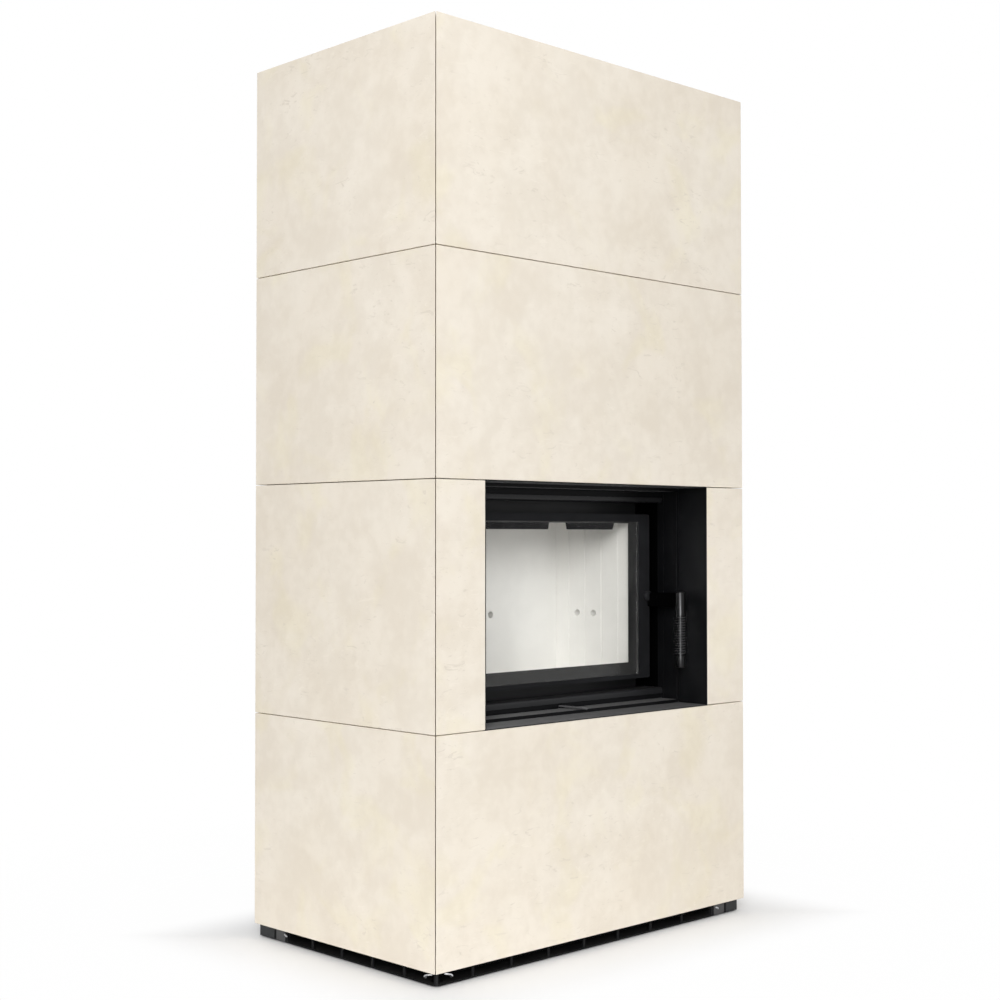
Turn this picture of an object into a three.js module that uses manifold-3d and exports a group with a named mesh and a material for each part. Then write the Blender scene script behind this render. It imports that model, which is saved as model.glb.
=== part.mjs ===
// A modular tiled stove: large concrete-look tiles on a steel frame, round a
// steel fireplace insert with a glazed door. Millimetres, +Z up, front at -Y,
// origin on the floor at the middle of the footprint.
import * as THREE from "three";
import { mergeVertices } from "three/addons/utils/BufferGeometryUtils.js";
import Module from "manifold-3d";

const wasm = await Module();
wasm.setup();

// ---- Clearances -----------------------------------------------------------
const SEAT = 0.3; // between a piece and what it rests on or lies against
const RUNNING = 0.5; // round a pin, a shaft or a rod that moves
const OVERSHOOT = 5; // how far a cutting tool stands out of what it cuts
const WELD = 1e-4; // distance at which vertices are one

// ---- Casing ---------------------------------------------------------------
const CASING_WIDTH = 1100;
const CASING_DEPTH = 675;
const PLINTH_HEIGHT = 34; // floor to the lowest tiles
const PLINTH_INSET = 14; // plinth behind the face of the tiles
const PLINTH_SHEET = 3;
const PLINTH_LIFT = 3; // plinth above the floor, on its levelling feet
const PLINTH_RADIUS = 18; // front corners
const PLINTH_TOP_FLANGE = 52;
const PLINTH_BOTTOM_FLANGE = 10;
const SLOT_HEIGHT = 17; // air slots round the plinth
const SLOT_PITCH = 108;
const SLOT_RIB = 9; // between two slots
const BOTTOM_ROW_HEIGHT = 521;
const DOOR_ROW_HEIGHT = 565;
const UPPER_ROW_HEIGHT = 517;
const TOP_ROW_HEIGHT = 519;
const TILE_THICKNESS = 30;
const TILE_JOINT = 2;
const MITRE_JOINT = 2; // between front and side tiles, square to the mitre
const ANGLE_LEG = 30; // angle iron of the frame
const ANGLE_THICKNESS = 3;
const INSULATION = 25;
const PANEL_SHEET = 3; // rear panel and top plate
const PANEL_INSET = 4.5; // rear panel in front of the tiles' rear edges
const TOP_PLATE_DROP = 17; // top plate under the top edge of the tiles
const FOOT_RADIUS = 14;
const FOOT_THICKNESS = 6;
const FOOT_STEM_RADIUS = 5;
const TOP_SLOT_LENGTH = 360;
const TOP_SLOT_WIDTH = 14;
const TOP_SLOT_PITCH = 50;
const TOP_SLOTS = 7; // on each side of the flue
const REAR_SLOT_LENGTH = 70;
const REAR_SLOT_HEIGHT = 10;
const REAR_SLOT_PITCH = 110;
const REAR_SLOTS = 8;
const REAR_SLOT_EDGE = 60; // first row of slots from the end of the panel

// ---- Niche round the door -------------------------------------------------
const OPENING_WIDTH = 797;
const SLEEVE_SHEET = 2;
const OUTER_SLEEVE_DEPTH = 94;
const INNER_SLEEVE_DEPTH = 46;
const SLEEVE_STEP = 8; // inner sleeve inside the outer one
const RAIL_SETBACK = 144; // niche rails behind the face of the tiles
const RAIL_SHEET = 2;
const TOP_RAIL_HEIGHT = 13;
const BOTTOM_RAIL_HEIGHT = 15.5;

// ---- Fireplace insert -----------------------------------------------------
const DOOR_SETBACK = 150; // face of the door behind the face of the tiles
const PLATE_SETBACK = 199; // face of the front plate behind the tiles
const PLATE_THICKNESS = 4;
const PLATE_SIDE_MARGIN = 45.2; // front plate inside the inner sleeve
const PLATE_BOTTOM_MARGIN = 28.7;
const PLATE_TOP_MARGIN = 29.7;
const NECK_DEPTH = 28; // sealing frame in front of the front plate
const NECK_RIM = 16;
const NECK_INSET = 3; // opening of the neck inside the door's light
const BODY_WALL = 4;
const BODY_ABOVE_PLATE = 86; // top of the body over the front plate
const HEARTH_SLAB = 30;
const LINING_THICKNESS = 25;
const LINING_ABOVE_NECK = 30.6;
const LINING_LIP = 12; // lining where it passes through the neck
const LINING_SIDE_GAP = 1; // lining to the steel body
const REAR_LINING_INSET = 97; // side boards, at the back, inside the front plate's edges
const FIREBOX_DEPTH = 201; // front plate to rear lining
const GROOVE_FIRST = 6; // first board joint behind the front plate
const GROOVE_PITCH = 51;
const GROOVES = 4;
const GROOVE_WIDTH = 3;
const GROOVE_DEPTH = 2.5;
const AIR_HOLE_PLACES = [1.5, 2.5]; // in pitches behind the first board joint
const AIR_HOLE_RADIUS = 5;
const AIR_HOLE_DEPTH = 14;
const AIR_HOLE_HEIGHT = 162; // over the hearth
const BAFFLE_THICKNESS = 20;
const BAFFLE_DEPTH = 130;
const GRATE_WIDTH = 200;
const GRATE_DEPTH = 130;
const GRATE_THICKNESS = 10;
const GRATE_LEDGE = 12;
const GRATE_SLOTS = 8;
const GRATE_SLOT_WIDTH = 9;
const GRATE_EDGE = 14;
const ASH_HOLE_WIDTH = 120;
const ASH_HOLE_DEPTH = 60;
const FLUE_RADIUS = 90; // outside of the flue pipe
const FLUE_WALL = 3;
const COLLAR_FLANGE = 22; // flange of the collar beyond its tube
const COLLAR_FLANGE_THICKNESS = 5;
const COLLAR_HEIGHT = 60;
const FLUE_TOP_MARGIN = 6; // end of the flue pipe under the top of the tiles
const FLUE_HOLE_MARGIN = 6; // hole in the top plate round the pipe

// ---- Air supply -----------------------------------------------------------
const AIR_BOX_WIDTH = 180;
const AIR_BOX_DEPTH = 164;
const AIR_BOX_ROOM = 6; // room over the duct, under the damper's shelf
const AIR_BOX_SHEET = 3;
const AIR_BOX_SETBACK = 10; // front of the box behind the front plate
const AIR_DUCT_RADIUS = 62.5;
const AIR_DUCT_WALL = 2.5;
const AIR_PORT_WIDTH = 90; // port in the shelf, under the damper
const AIR_PORT_DEPTH = 36;
const DAMPER_WIDTH = 130;
const DAMPER_DEPTH = 80;
const DAMPER_SHEET = 3;
const DAMPER_TAB_WIDTH = 16;
const DAMPER_TAB_HEIGHT = 11;
const ROD_RADIUS = 4;
const ROD_REACH = 94; // tip of the rod in front of the door's face
const ROD_DROP = 7; // axis of the rod under the bottom niche rail
const KNOB_RADIUS = 5.5;
const KNOB_LENGTH = 12;
const AIR_TRAVEL = 40;

// ---- Stand of the insert --------------------------------------------------
const STAND_TUBE = 30;
const STAND_SIDE_INSET = 58; // stand inside the front plate's edges
const STAND_BRACE_HEIGHT = 100;
const STAND_FRONT_INSET = 16; // stand behind the front plate
const STAND_REAR_INSET = 10;

// ---- Door -----------------------------------------------------------------
const DOOR_RAISE = 29; // above the lower edge of the front plate
const DOOR_DROP = 31; // below its upper edge
const DOOR_SKIRT_DEPTH = 44;
const DOOR_SHEET = 4;
const STILE_WIDTH = 43.6;
const DOOR_TOP_WIDTH = 20;
const DOOR_BOTTOM_WIDTH = 24;
const GLASS_THICKNESS = 4;
const GLASS_RECESS = 0.5;
const SEAL_WIDTH = 10;
const CLIP_HEIGHT = 20;
const CLIP_THICKNESS = 6;
const LEFT_CLIP_CORNER = 9.4; // left clip from the corner of the light
const LEFT_CLIP_END = -30.5;
const RIGHT_CLIP_START = 31;
const RIGHT_CLIP_CORNER = 88.4; // right clip from its corner
const HINGE_INSET = 7; // hinge axis inside the door's left edge
const HINGE_DEPTH = 38; // hinge axis behind the door's face
const HINGE_BLOCK = 14;
const HINGE_PIN_RADIUS = 3;
const HINGE_COLLAR_RADIUS = 5.5;
const HINGE_GAP = 3; // door to hinge lug
const LUG_THICKNESS = 5;

// ---- Latch and handle -----------------------------------------------------
const LATCH_INSET = 14; // shaft inside the door's right edge
const SHAFT_RADIUS = 6;
const BUSH_RADIUS = 9.5;
const BUSH_DEPTH = 22;
const TONGUE_LENGTH = 43;
const TONGUE_WIDTH = 12;
const TONGUE_THICKNESS = 6;
const TONGUE_HUB_RADIUS = 9;
const TONGUE_DEPTH = 31.5; // front of the tongue behind the door's face
const KEEPER_LIP = 4;
const KEEPER_REACH = 22; // lip over the tongue's end
const KEEPER_HEIGHT = 24;
const KEEPER_EAR_HEIGHT = 68;
const BOSS_RADIUS = 13;
const BOSS_LENGTH = 13;
const GRIP_RADIUS = 12.5;
const GRIP_LENGTH = 196;
const GRIP_TOP_SLEEVE = 52;
const GRIP_BOTTOM_SLEEVE = 31;
const GRIP_CHAMFER = 1.5;
const GRIP_OFFSET = 20; // grip to the right of the shaft
const GRIP_REACH = 99.5; // grip in front of the door's face
const GRIP_ABOVE_SHAFT = 12; // top of the grip over the shaft
const COIL_WIRE_RADIUS = 2.5;
const COIL_TURNS = 13;
const ARM_THICKNESS = 8;
const ARM_ABOVE_SHAFT = 10;
const ARM_BELOW_SHAFT = 28;
const ARM_BEND = 52; // where the arm turns forwards, from the grip

// ---- How round curved pieces are ------------------------------------------
const SIDES_SMALL = 12;
const SIDES_MEDIUM = 20;
const SIDES_LARGE = 40;
const CORNER_STEPS = 5;
const ARM_STEPS = 8;
const COIL_STEPS_PER_TURN = 12;
const COIL_SIDES = 6;

// ---- Places worked out from the sizes above -------------------------------
const HALF_WIDTH = CASING_WIDTH / 2;
const FRONT_Y = -CASING_DEPTH / 2;
const BACK_Y = CASING_DEPTH / 2;
const LEDGE_Z = PLINTH_HEIGHT + BOTTOM_ROW_HEIGHT; // top of the lowest tiles
const DOOR_ROW_Z = LEDGE_Z + TILE_JOINT;
const UPPER_ROW_Z = DOOR_ROW_Z + DOOR_ROW_HEIGHT + TILE_JOINT;
const TOP_ROW_Z = UPPER_ROW_Z + UPPER_ROW_HEIGHT + TILE_JOINT;
const CASING_TOP = TOP_ROW_Z + TOP_ROW_HEIGHT;
const INNER_X = HALF_WIDTH - TILE_THICKNESS - SEAT; // frame inside the tiles
const INNER_FRONT_Y = FRONT_Y + TILE_THICKNESS + SEAT;
const PANEL_Y = BACK_Y - PANEL_INSET; // rear face of the rear panel
const FRAME_BACK_Y = PANEL_Y - PANEL_SHEET - SEAT;
const PLINTH_X = HALF_WIDTH - PLINTH_INSET;
const PLINTH_FRONT_Y = FRONT_Y + PLINTH_INSET;
const PLINTH_BACK_Y = PANEL_Y;
const FRAME_BOTTOM = PLINTH_HEIGHT;
const TOP_PLATE_Z = CASING_TOP - TOP_PLATE_DROP - PANEL_SHEET;
const FRAME_TOP = TOP_PLATE_Z - SEAT;

const SLEEVE = {
  left: -OPENING_WIDTH / 2 + SEAT,
  right: OPENING_WIDTH / 2 - SEAT,
  bottom: LEDGE_Z + SEAT,
  top: UPPER_ROW_Z - SEAT,
};
const STEP_Y = FRONT_Y + OUTER_SLEEVE_DEPTH; // where the niche narrows
const INNER_SLEEVE = inset(SLEEVE, SLEEVE_SHEET + SLEEVE_STEP);

const PLATE_Y = FRONT_Y + PLATE_SETBACK; // face of the front plate
const PLATE_BACK_Y = PLATE_Y + PLATE_THICKNESS;
const PLATE = inset(INNER_SLEEVE, PLATE_SIDE_MARGIN, PLATE_BOTTOM_MARGIN, PLATE_TOP_MARGIN);
const DOOR_Y = FRONT_Y + DOOR_SETBACK; // face of the door
const DOOR = inset(PLATE, 0, DOOR_RAISE, DOOR_DROP);
const LIGHT = inset(DOOR, STILE_WIDTH, DOOR_BOTTOM_WIDTH, DOOR_TOP_WIDTH);
const NECK = inset(LIGHT, NECK_INSET);
const NECK_Y = PLATE_Y - NECK_DEPTH;

const BODY_BACK_Y = PLATE_Y + FIREBOX_DEPTH + LINING_THICKNESS + SEAT + BODY_WALL;
const BODY_BOTTOM = PLATE.bottom;
const BODY_TOP = PLATE.top + BODY_ABOVE_PLATE;
const HEARTH_Z = BODY_BOTTOM + BODY_WALL + SEAT + HEARTH_SLAB;
const LINING_Z = HEARTH_Z + SEAT;
const LINING_TOP = NECK.top + LINING_ABOVE_NECK;
const REAR_LINING_Y = PLATE_Y + FIREBOX_DEPTH;
const REAR_LINING_X = PLATE.right - REAR_LINING_INSET; // side boards at the back
const LINING_SLOPE = (NECK.right - SEAT - LINING_LIP - REAR_LINING_X) / (REAR_LINING_Y - NECK_Y);
const BODY_INNER_X = liningX(PLATE_BACK_Y) + LINING_THICKNESS + LINING_SIDE_GAP;
const BODY_X = BODY_INNER_X + BODY_WALL;
const BODY_MIDDLE_Y = (PLATE_BACK_Y + BODY_BACK_Y) / 2;
const BAFFLE_Z = LINING_TOP + SEAT;
const GRATE_Z = HEARTH_Z - GRATE_THICKNESS;

const AIR_BOX_Y = PLATE_BACK_Y + AIR_BOX_SETBACK;
const AIR_BOX_TOP = BODY_BOTTOM - SEAT;
const AIR_BOX_BACK_Y = AIR_BOX_Y + AIR_BOX_DEPTH;
const AIR_BOX_MIDDLE_Y = (AIR_BOX_Y + AIR_BOX_BACK_Y) / 2;
const BOTTOM_RAIL_Z = PLATE.bottom - SEAT - BOTTOM_RAIL_HEIGHT;
const ROD_Z = BOTTOM_RAIL_Z - ROD_DROP;
const SHELF_TOP = ROD_Z - ROD_RADIUS - DAMPER_SHEET - SEAT;
const AIR_DUCT_Z = SHELF_TOP - AIR_BOX_SHEET - AIR_BOX_ROOM - AIR_DUCT_RADIUS;
const AIR_BOX_BOTTOM = AIR_DUCT_Z - AIR_DUCT_RADIUS - AIR_BOX_SHEET;
const DAMPER_Z = SHELF_TOP + SEAT;
const DAMPER_Y = AIR_BOX_Y + AIR_BOX_SHEET + AIR_TRAVEL + RUNNING;
const AIR_PORT_Y = DAMPER_Y + DAMPER_DEPTH - AIR_PORT_DEPTH - AIR_BOX_SHEET;

const HINGE_X = DOOR.left + HINGE_INSET;
const HINGE_Y = DOOR_Y + HINGE_DEPTH;
const LATCH_X = DOOR.right - LATCH_INSET;
const LATCH_Z = (DOOR.bottom + DOOR.top) / 2;
const TONGUE_Y = DOOR_Y + TONGUE_DEPTH;
const TONGUE_BACK_Y = TONGUE_Y + TONGUE_THICKNESS;
const BOSS_BACK_Y = DOOR_Y - SEAT;
const BOSS_Y = BOSS_BACK_Y - BOSS_LENGTH;
const GRIP_Y = DOOR_Y - GRIP_REACH;
const GRIP_Z = LATCH_Z + GRIP_ABOVE_SHAFT - GRIP_LENGTH;
const CORE_RADIUS = GRIP_RADIUS - 2 * COIL_WIRE_RADIUS - SEAT;

/** Half the width of the firebox, between its flared side boards, at a depth. */
function liningX(y) {
  return REAR_LINING_X + LINING_SLOPE * (REAR_LINING_Y - y);
}

/** A front view rectangle made smaller on each side. */
function inset(rect, sides, bottom = sides, top = sides) {
  return {
    left: rect.left + sides,
    right: rect.right - sides,
    bottom: rect.bottom + bottom,
    top: rect.top - top,
  };
}

// ---- Solids ---------------------------------------------------------------

/** A geometry as a solid that can be cut and joined. */
function solid(geometry) {
  const bare = geometry.clone();
  bare.deleteAttribute("normal");
  bare.deleteAttribute("uv");
  const merged = mergeVertices(bare, WELD);
  const corners = merged.index.array;
  const kept = [];
  for (let i = 0; i < corners.length; i += 3) {
    const [a, b, c] = corners.slice(i, i + 3);
    if (a !== b && b !== c && c !== a) kept.push(a, b, c);
  }
  const vertProperties = merged.attributes.position.array;
  const triVerts = new Uint32Array(kept);
  return new wasm.Manifold(new wasm.Mesh({ numProp: 3, vertProperties, triVerts }));
}

/** A solid as a geometry with flat faces. */
function geometryOf(made) {
  const mesh = made.getMesh();
  const geometry = new THREE.BufferGeometry();
  geometry.setAttribute("position", new THREE.BufferAttribute(mesh.vertProperties, 3));
  geometry.setIndex(new THREE.BufferAttribute(mesh.triVerts, 1));
  const flat = geometry.toNonIndexed();
  flat.computeVertexNormals();
  return flat;
}

/** A geometry with tools taken out of it. */
function cut(geometry, tools) {
  const rest = tools.reduce((made, tool) => made.subtract(solid(tool)), solid(geometry));
  return geometryOf(rest);
}

/** Geometries joined into one. */
function join(first, ...others) {
  return geometryOf(others.reduce((made, other) => made.add(solid(other)), solid(first)));
}

/** A box between two ranges along each axis. */
function box([left, right], [front, back], [bottom, top]) {
  const geometry = new THREE.BoxGeometry(right - left, back - front, top - bottom);
  return geometry.translate((left + right) / 2, (front + back) / 2, (bottom + top) / 2);
}

/** An outline of points, seen from above, between two heights. */
function upright(points, [bottom, top], holes = []) {
  const shape = new THREE.Shape(points);
  shape.holes = holes.map((hole) => new THREE.Path(hole));
  const options = { depth: top - bottom, bevelEnabled: false };
  return new THREE.ExtrudeGeometry(shape, options).translate(0, 0, bottom);
}

/** A rectangle seen from the front, as points. */
function frontPoints({ left, right, bottom, top }) {
  const corners = [[left, bottom], [right, bottom], [right, top], [left, top]];
  return corners.map(([x, z]) => new THREE.Vector2(x, z));
}

/** A rectangular ring seen from the front, between two depths. */
function frontRing(outer, inner, [front, back]) {
  const shape = new THREE.Shape(frontPoints(outer));
  shape.holes = [new THREE.Path(frontPoints(inner))];
  const options = { depth: back - front, bevelEnabled: false };
  const geometry = new THREE.ExtrudeGeometry(shape, options);
  return geometry.rotateX(Math.PI / 2).translate(0, back, 0);
}

/** A turned piece round +Z, from [radius, height] pairs that go up. */
function turned(profile, sides) {
  const points = profile.map(([radius, height]) => new THREE.Vector2(radius, height));
  return new THREE.LatheGeometry(points, sides).rotateX(Math.PI / 2);
}

/** A cylinder along Z. */
function rod(radius, [bottom, top], sides) {
  const profile = [[0, bottom], [radius, bottom], [radius, top], [0, top]];
  return turned(profile, sides);
}

/** A tube along Z. */
function tube(outer, inner, [bottom, top], sides) {
  const profile = [[inner, bottom], [outer, bottom], [outer, top], [inner, top]];
  return turned([...profile, profile[0]], sides);
}

/** A geometry along Z, laid down so that its top end points to the back. */
function alongY(geometry) {
  return geometry.rotateX(-Math.PI / 2);
}

/** A geometry along Z, laid down so that its top end points to the right. */
function alongX(geometry) {
  return geometry.rotateY(Math.PI / 2);
}

/** Points with their left and right sides changed over, still anticlockwise. */
function mirrored(points) {
  return points.map(([x, y]) => [-x, y]).reverse();
}

/** Pairs of numbers as points. */
function vectors(pairs) {
  return pairs.map(([x, y]) => new THREE.Vector2(x, y));
}

/** Middles of a number of copies at a pitch, centred on zero. */
function spread(count, pitch) {
  return Array.from({ length: count }, (_, i) => (i - (count - 1) / 2) * pitch);
}

// ---- Finishes -------------------------------------------------------------
const FINISHES = {
  concreteTile: { color: 0xe9dfcd, roughness: 0.85, metalness: 0 },
  blackSteel: { color: 0x17171a, roughness: 0.55, metalness: 0.3 },
  doorSteel: { color: 0x1d1d20, roughness: 0.45, metalness: 0.4 },
  zinc: { color: 0xb4b7ba, roughness: 0.4, metalness: 0.9 },
  frameSteel: { color: 0x8f9498, roughness: 0.5, metalness: 0.8 },
  insulation: { color: 0xd9d4c8, roughness: 0.95, metalness: 0 },
  lining: { color: 0xd8d2c6, roughness: 0.9, metalness: 0 },
  castIron: { color: 0x2a2a2c, roughness: 0.7, metalness: 0.6 },
  glass: { color: 0x20211f, roughness: 0.05, metalness: 0, transparent: true, opacity: 0.3 },
  rope: { color: 0x3a3a38, roughness: 0.95, metalness: 0 },
  gunmetal: { color: 0x5b5c60, roughness: 0.3, metalness: 0.9 },
};

/** A named piece with a material of its own. */
function piece(name, geometry, finish) {
  const mesh = new THREE.Mesh(geometry, new THREE.MeshStandardMaterial(FINISHES[finish]));
  mesh.name = name;
  return mesh;
}

/** A group that holds pieces. */
function group(...pieces) {
  return new THREE.Group().add(...pieces.flat());
}

// ---- Plinth ---------------------------------------------------------------

/** The plinth's outline from above, moved inwards, with round front corners. */
function plinthOutline(inwards) {
  const x = PLINTH_X - inwards;
  const front = PLINTH_FRONT_Y + inwards;
  const back = PLINTH_BACK_Y - inwards;
  const radius = Math.max(PLINTH_RADIUS - inwards, PLINTH_SHEET);
  const shape = new THREE.Shape();
  shape.moveTo(x, back);
  shape.lineTo(-x, back);
  shape.lineTo(-x, front + radius);
  shape.absarc(-x + radius, front + radius, radius, Math.PI, Math.PI * 1.5);
  shape.lineTo(x - radius, front);
  shape.absarc(x - radius, front + radius, radius, Math.PI * 1.5, Math.PI * 2);
  return shape.getPoints(CORNER_STEPS);
}

/** The air slots between two corners of the plinth, as spans. */
function slotSpans(start, end) {
  const count = Math.floor((end - start - 2 * PLINTH_RADIUS) / SLOT_PITCH);
  const half = (SLOT_PITCH - SLOT_RIB) / 2;
  const middle = (start + end) / 2;
  return spread(count, SLOT_PITCH).map((place) => [middle + place - half, middle + place + half]);
}

/** The folded plinth: a skirt with air slots between two flanges. */
function plinth() {
  const heights = [PLINTH_LIFT, PLINTH_HEIGHT - SEAT];
  const outline = plinthOutline(0);
  const skirt = upright(outline, heights, [plinthOutline(PLINTH_SHEET)]);
  const topFlange = upright(outline, [heights[1] - PLINTH_SHEET, heights[1]], [
    plinthOutline(PLINTH_TOP_FLANGE),
  ]);
  const bottomFlange = upright(outline, [heights[0], heights[0] + PLINTH_SHEET], [
    plinthOutline(PLINTH_SHEET + PLINTH_BOTTOM_FLANGE),
  ]);
  const middle = (heights[0] + heights[1]) / 2;
  const slotZ = [middle - SLOT_HEIGHT / 2, middle + SLOT_HEIGHT / 2];
  const inX = PLINTH_X - PLINTH_SHEET - SEAT;
  const inFront = PLINTH_FRONT_Y + PLINTH_SHEET + SEAT;
  const inBack = PLINTH_BACK_Y - PLINTH_SHEET - SEAT;
  const frontSlots = slotSpans(-PLINTH_X, PLINTH_X).flatMap((span) => [
    box(span, [FRONT_Y, inFront], slotZ),
    box(span, [inBack, BACK_Y], slotZ),
  ]);
  const sideSlots = slotSpans(PLINTH_FRONT_Y, PLINTH_BACK_Y).flatMap((span) => [
    box([-HALF_WIDTH, -inX], span, slotZ),
    box([inX, HALF_WIDTH], span, slotZ),
  ]);
  return cut(join(skirt, topFlange, bottomFlange), [...frontSlots, ...sideSlots]);
}

/** A levelling foot: a pad on a threaded stem under the top flange. */
function levellingFoot() {
  const top = PLINTH_HEIGHT - SEAT - PLINTH_SHEET - SEAT;
  const profile = [
    [0, 0],
    [FOOT_RADIUS, 0],
    [FOOT_RADIUS, FOOT_THICKNESS],
    [FOOT_STEM_RADIUS, FOOT_THICKNESS],
    [FOOT_STEM_RADIUS, top],
    [0, top],
  ];
  return turned(profile, SIDES_MEDIUM);
}

/** The four levelling feet, in the corners of the plinth. */
function feet() {
  const inside = PLINTH_SHEET + PLINTH_BOTTOM_FLANGE + FOOT_RADIUS + RUNNING;
  const x = PLINTH_X - inside;
  const front = PLINTH_FRONT_Y + inside;
  const back = PLINTH_BACK_Y - inside;
  const places = { front_left: [-x, front], front_right: [x, front] };
  Object.assign(places, { rear_left: [-x, back], rear_right: [x, back] });
  return Object.entries(places).map(([name, [footX, footY]]) => {
    const foot = piece("levelling_foot_" + name, levellingFoot(), "zinc");
    foot.position.set(footX, footY, 0);
    return foot;
  });
}

// ---- Frame of angle iron --------------------------------------------------

/** A corner post of angle iron, its corner at x and y, its legs along signX and signY. */
function post(x, y, signX, signY) {
  const leg = ANGLE_LEG;
  const wall = ANGLE_THICKNESS;
  const outline = [[0, 0], [leg, 0], [leg, wall], [wall, wall], [wall, leg], [0, leg]];
  const placed = outline.map(([u, v]) => [x + signX * u, y + signY * v]);
  return upright(vectors(placed), [FRAME_BOTTOM, FRAME_TOP]);
}

/** The four corner posts. */
function posts() {
  return [
    piece("post_front_left", post(-INNER_X, INNER_FRONT_Y, 1, 1), "frameSteel"),
    piece("post_front_right", post(INNER_X, INNER_FRONT_Y, -1, 1), "frameSteel"),
    piece("post_rear_left", post(-INNER_X, FRAME_BACK_Y, 1, -1), "frameSteel"),
    piece("post_rear_right", post(INNER_X, FRAME_BACK_Y, -1, -1), "frameSteel"),
  ];
}

/** A cross rail of angle iron behind the front tiles; its shelf is at z. */
function crossRail(z, up) {
  const half = INNER_X - ANGLE_LEG - SEAT;
  const across = [-half, half];
  const back = INNER_FRONT_Y + ANGLE_THICKNESS;
  const leg = up ? [z, z + ANGLE_LEG] : [z - ANGLE_LEG, z];
  const shelf = up ? [z, z + ANGLE_THICKNESS] : [z - ANGLE_THICKNESS, z];
  const face = box(across, [INNER_FRONT_Y, back], leg);
  return join(face, box(across, [INNER_FRONT_Y, INNER_FRONT_Y + ANGLE_LEG], shelf));
}

/** The rails under and over the niche. */
function crossRails() {
  return [
    piece("sill_rail", crossRail(LEDGE_Z, false), "frameSteel"),
    piece("lintel_rail", crossRail(UPPER_ROW_Z, true), "frameSteel"),
  ];
}

// ---- Tiles ----------------------------------------------------------------

/** Where the mitre cuts the tile's face, from the casing's corner. */
const MITRE_BACK = MITRE_JOINT / Math.SQRT2;

/** A front tile from above, between two places along the front; mitred at the casing's corners. */
function frontTile([left, right], heights) {
  const back = FRONT_Y + TILE_THICKNESS;
  const corner = HALF_WIDTH - MITRE_BACK;
  const leftEnd = left === -HALF_WIDTH ? [-corner, -corner + TILE_THICKNESS] : [left, left];
  const rightEnd = right === HALF_WIDTH ? [corner, corner - TILE_THICKNESS] : [right, right];
  const outline = [
    [leftEnd[0], FRONT_Y],
    [rightEnd[0], FRONT_Y],
    [rightEnd[1], back],
    [leftEnd[1], back],
  ];
  return upright(vectors(outline), heights);
}

/** A left side tile, mitred at the front; the right one is its mirror image. */
function sideTile(isLeft, heights) {
  const outer = -HALF_WIDTH;
  const inner = outer + TILE_THICKNESS;
  const front = FRONT_Y + MITRE_BACK;
  const outline = [
    [outer, front],
    [inner, front + TILE_THICKNESS],
    [inner, BACK_Y],
    [outer, BACK_Y],
  ];
  return upright(vectors(isLeft ? outline : mirrored(outline)), heights);
}

/** All the tiles, row by row from the floor. */
function tiles() {
  const whole = [-HALF_WIDTH, HALF_WIDTH];
  const rows = {
    bottom: [PLINTH_HEIGHT, LEDGE_Z],
    door: [DOOR_ROW_Z, DOOR_ROW_Z + DOOR_ROW_HEIGHT],
    upper: [UPPER_ROW_Z, UPPER_ROW_Z + UPPER_ROW_HEIGHT],
    top: [TOP_ROW_Z, CASING_TOP],
  };
  const piers = {
    left: [-HALF_WIDTH, -OPENING_WIDTH / 2],
    right: [OPENING_WIDTH / 2, HALF_WIDTH],
  };
  return Object.entries(rows).flatMap(([row, heights]) => [
    piece("tile_left_" + row, sideTile(true, heights), "concreteTile"),
    piece("tile_right_" + row, sideTile(false, heights), "concreteTile"),
    ...(row === "door"
      ? Object.entries(piers).map(([side, span]) =>
          piece("tile_pier_" + side, frontTile(span, heights), "concreteTile"),
        )
      : [piece("tile_front_" + row, frontTile(whole, heights), "concreteTile")]),
  ]);
}

// ---- Inside of the casing -------------------------------------------------

/** A hole along Y, through whatever stands between two depths. */
function holeAlongY(x, z, radius, [front, back], sides) {
  return alongY(rod(radius, [front, back], sides)).translate(x, 0, z);
}

/** Insulation boards between the posts, at the sides and the back. */
function insulation() {
  const heights = [FRAME_BOTTOM, FRAME_TOP];
  const front = INNER_FRONT_Y + ANGLE_LEG + SEAT;
  const back = FRAME_BACK_Y - ANGLE_LEG - SEAT;
  const sideX = [INNER_X - INSULATION, INNER_X];
  const half = INNER_X - ANGLE_LEG - SEAT;
  const rear = box([-half, half], [FRAME_BACK_Y - INSULATION, FRAME_BACK_Y], heights);
  const ductHole = ductHoleTool();
  return [
    piece("insulation_right", box(sideX, [front, back], heights), "insulation"),
    piece("insulation_left", box([-sideX[1], -sideX[0]], [front, back], heights), "insulation"),
    piece("insulation_rear", cut(rear, [ductHole]), "insulation"),
  ];
}

/** The tool that lets the air duct through the back of the casing. */
function ductHoleTool() {
  const depths = [FRAME_BACK_Y - INSULATION - OVERSHOOT, BACK_Y + OVERSHOOT];
  return holeAlongY(0, AIR_DUCT_Z, AIR_DUCT_RADIUS + SEAT, depths, SIDES_LARGE);
}

/** The rear panel, with a row of air slots near each end and a hole for the duct. */
function rearPanel() {
  const plate = box([-INNER_X, INNER_X], [PANEL_Y - PANEL_SHEET, PANEL_Y], [
    FRAME_BOTTOM,
    FRAME_TOP,
  ]);
  const through = [PANEL_Y - PANEL_SHEET - SEAT, PANEL_Y + SEAT];
  const slots = spread(REAR_SLOTS, REAR_SLOT_PITCH).flatMap((x) =>
    [FRAME_BOTTOM + REAR_SLOT_EDGE, FRAME_TOP - REAR_SLOT_EDGE].map((z) =>
      box(
        [x - REAR_SLOT_LENGTH / 2, x + REAR_SLOT_LENGTH / 2],
        through,
        [z - REAR_SLOT_HEIGHT / 2, z + REAR_SLOT_HEIGHT / 2],
      ),
    ),
  );
  return piece("rear_panel", cut(plate, [...slots, ductHoleTool()]), "blackSteel");
}

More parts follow.
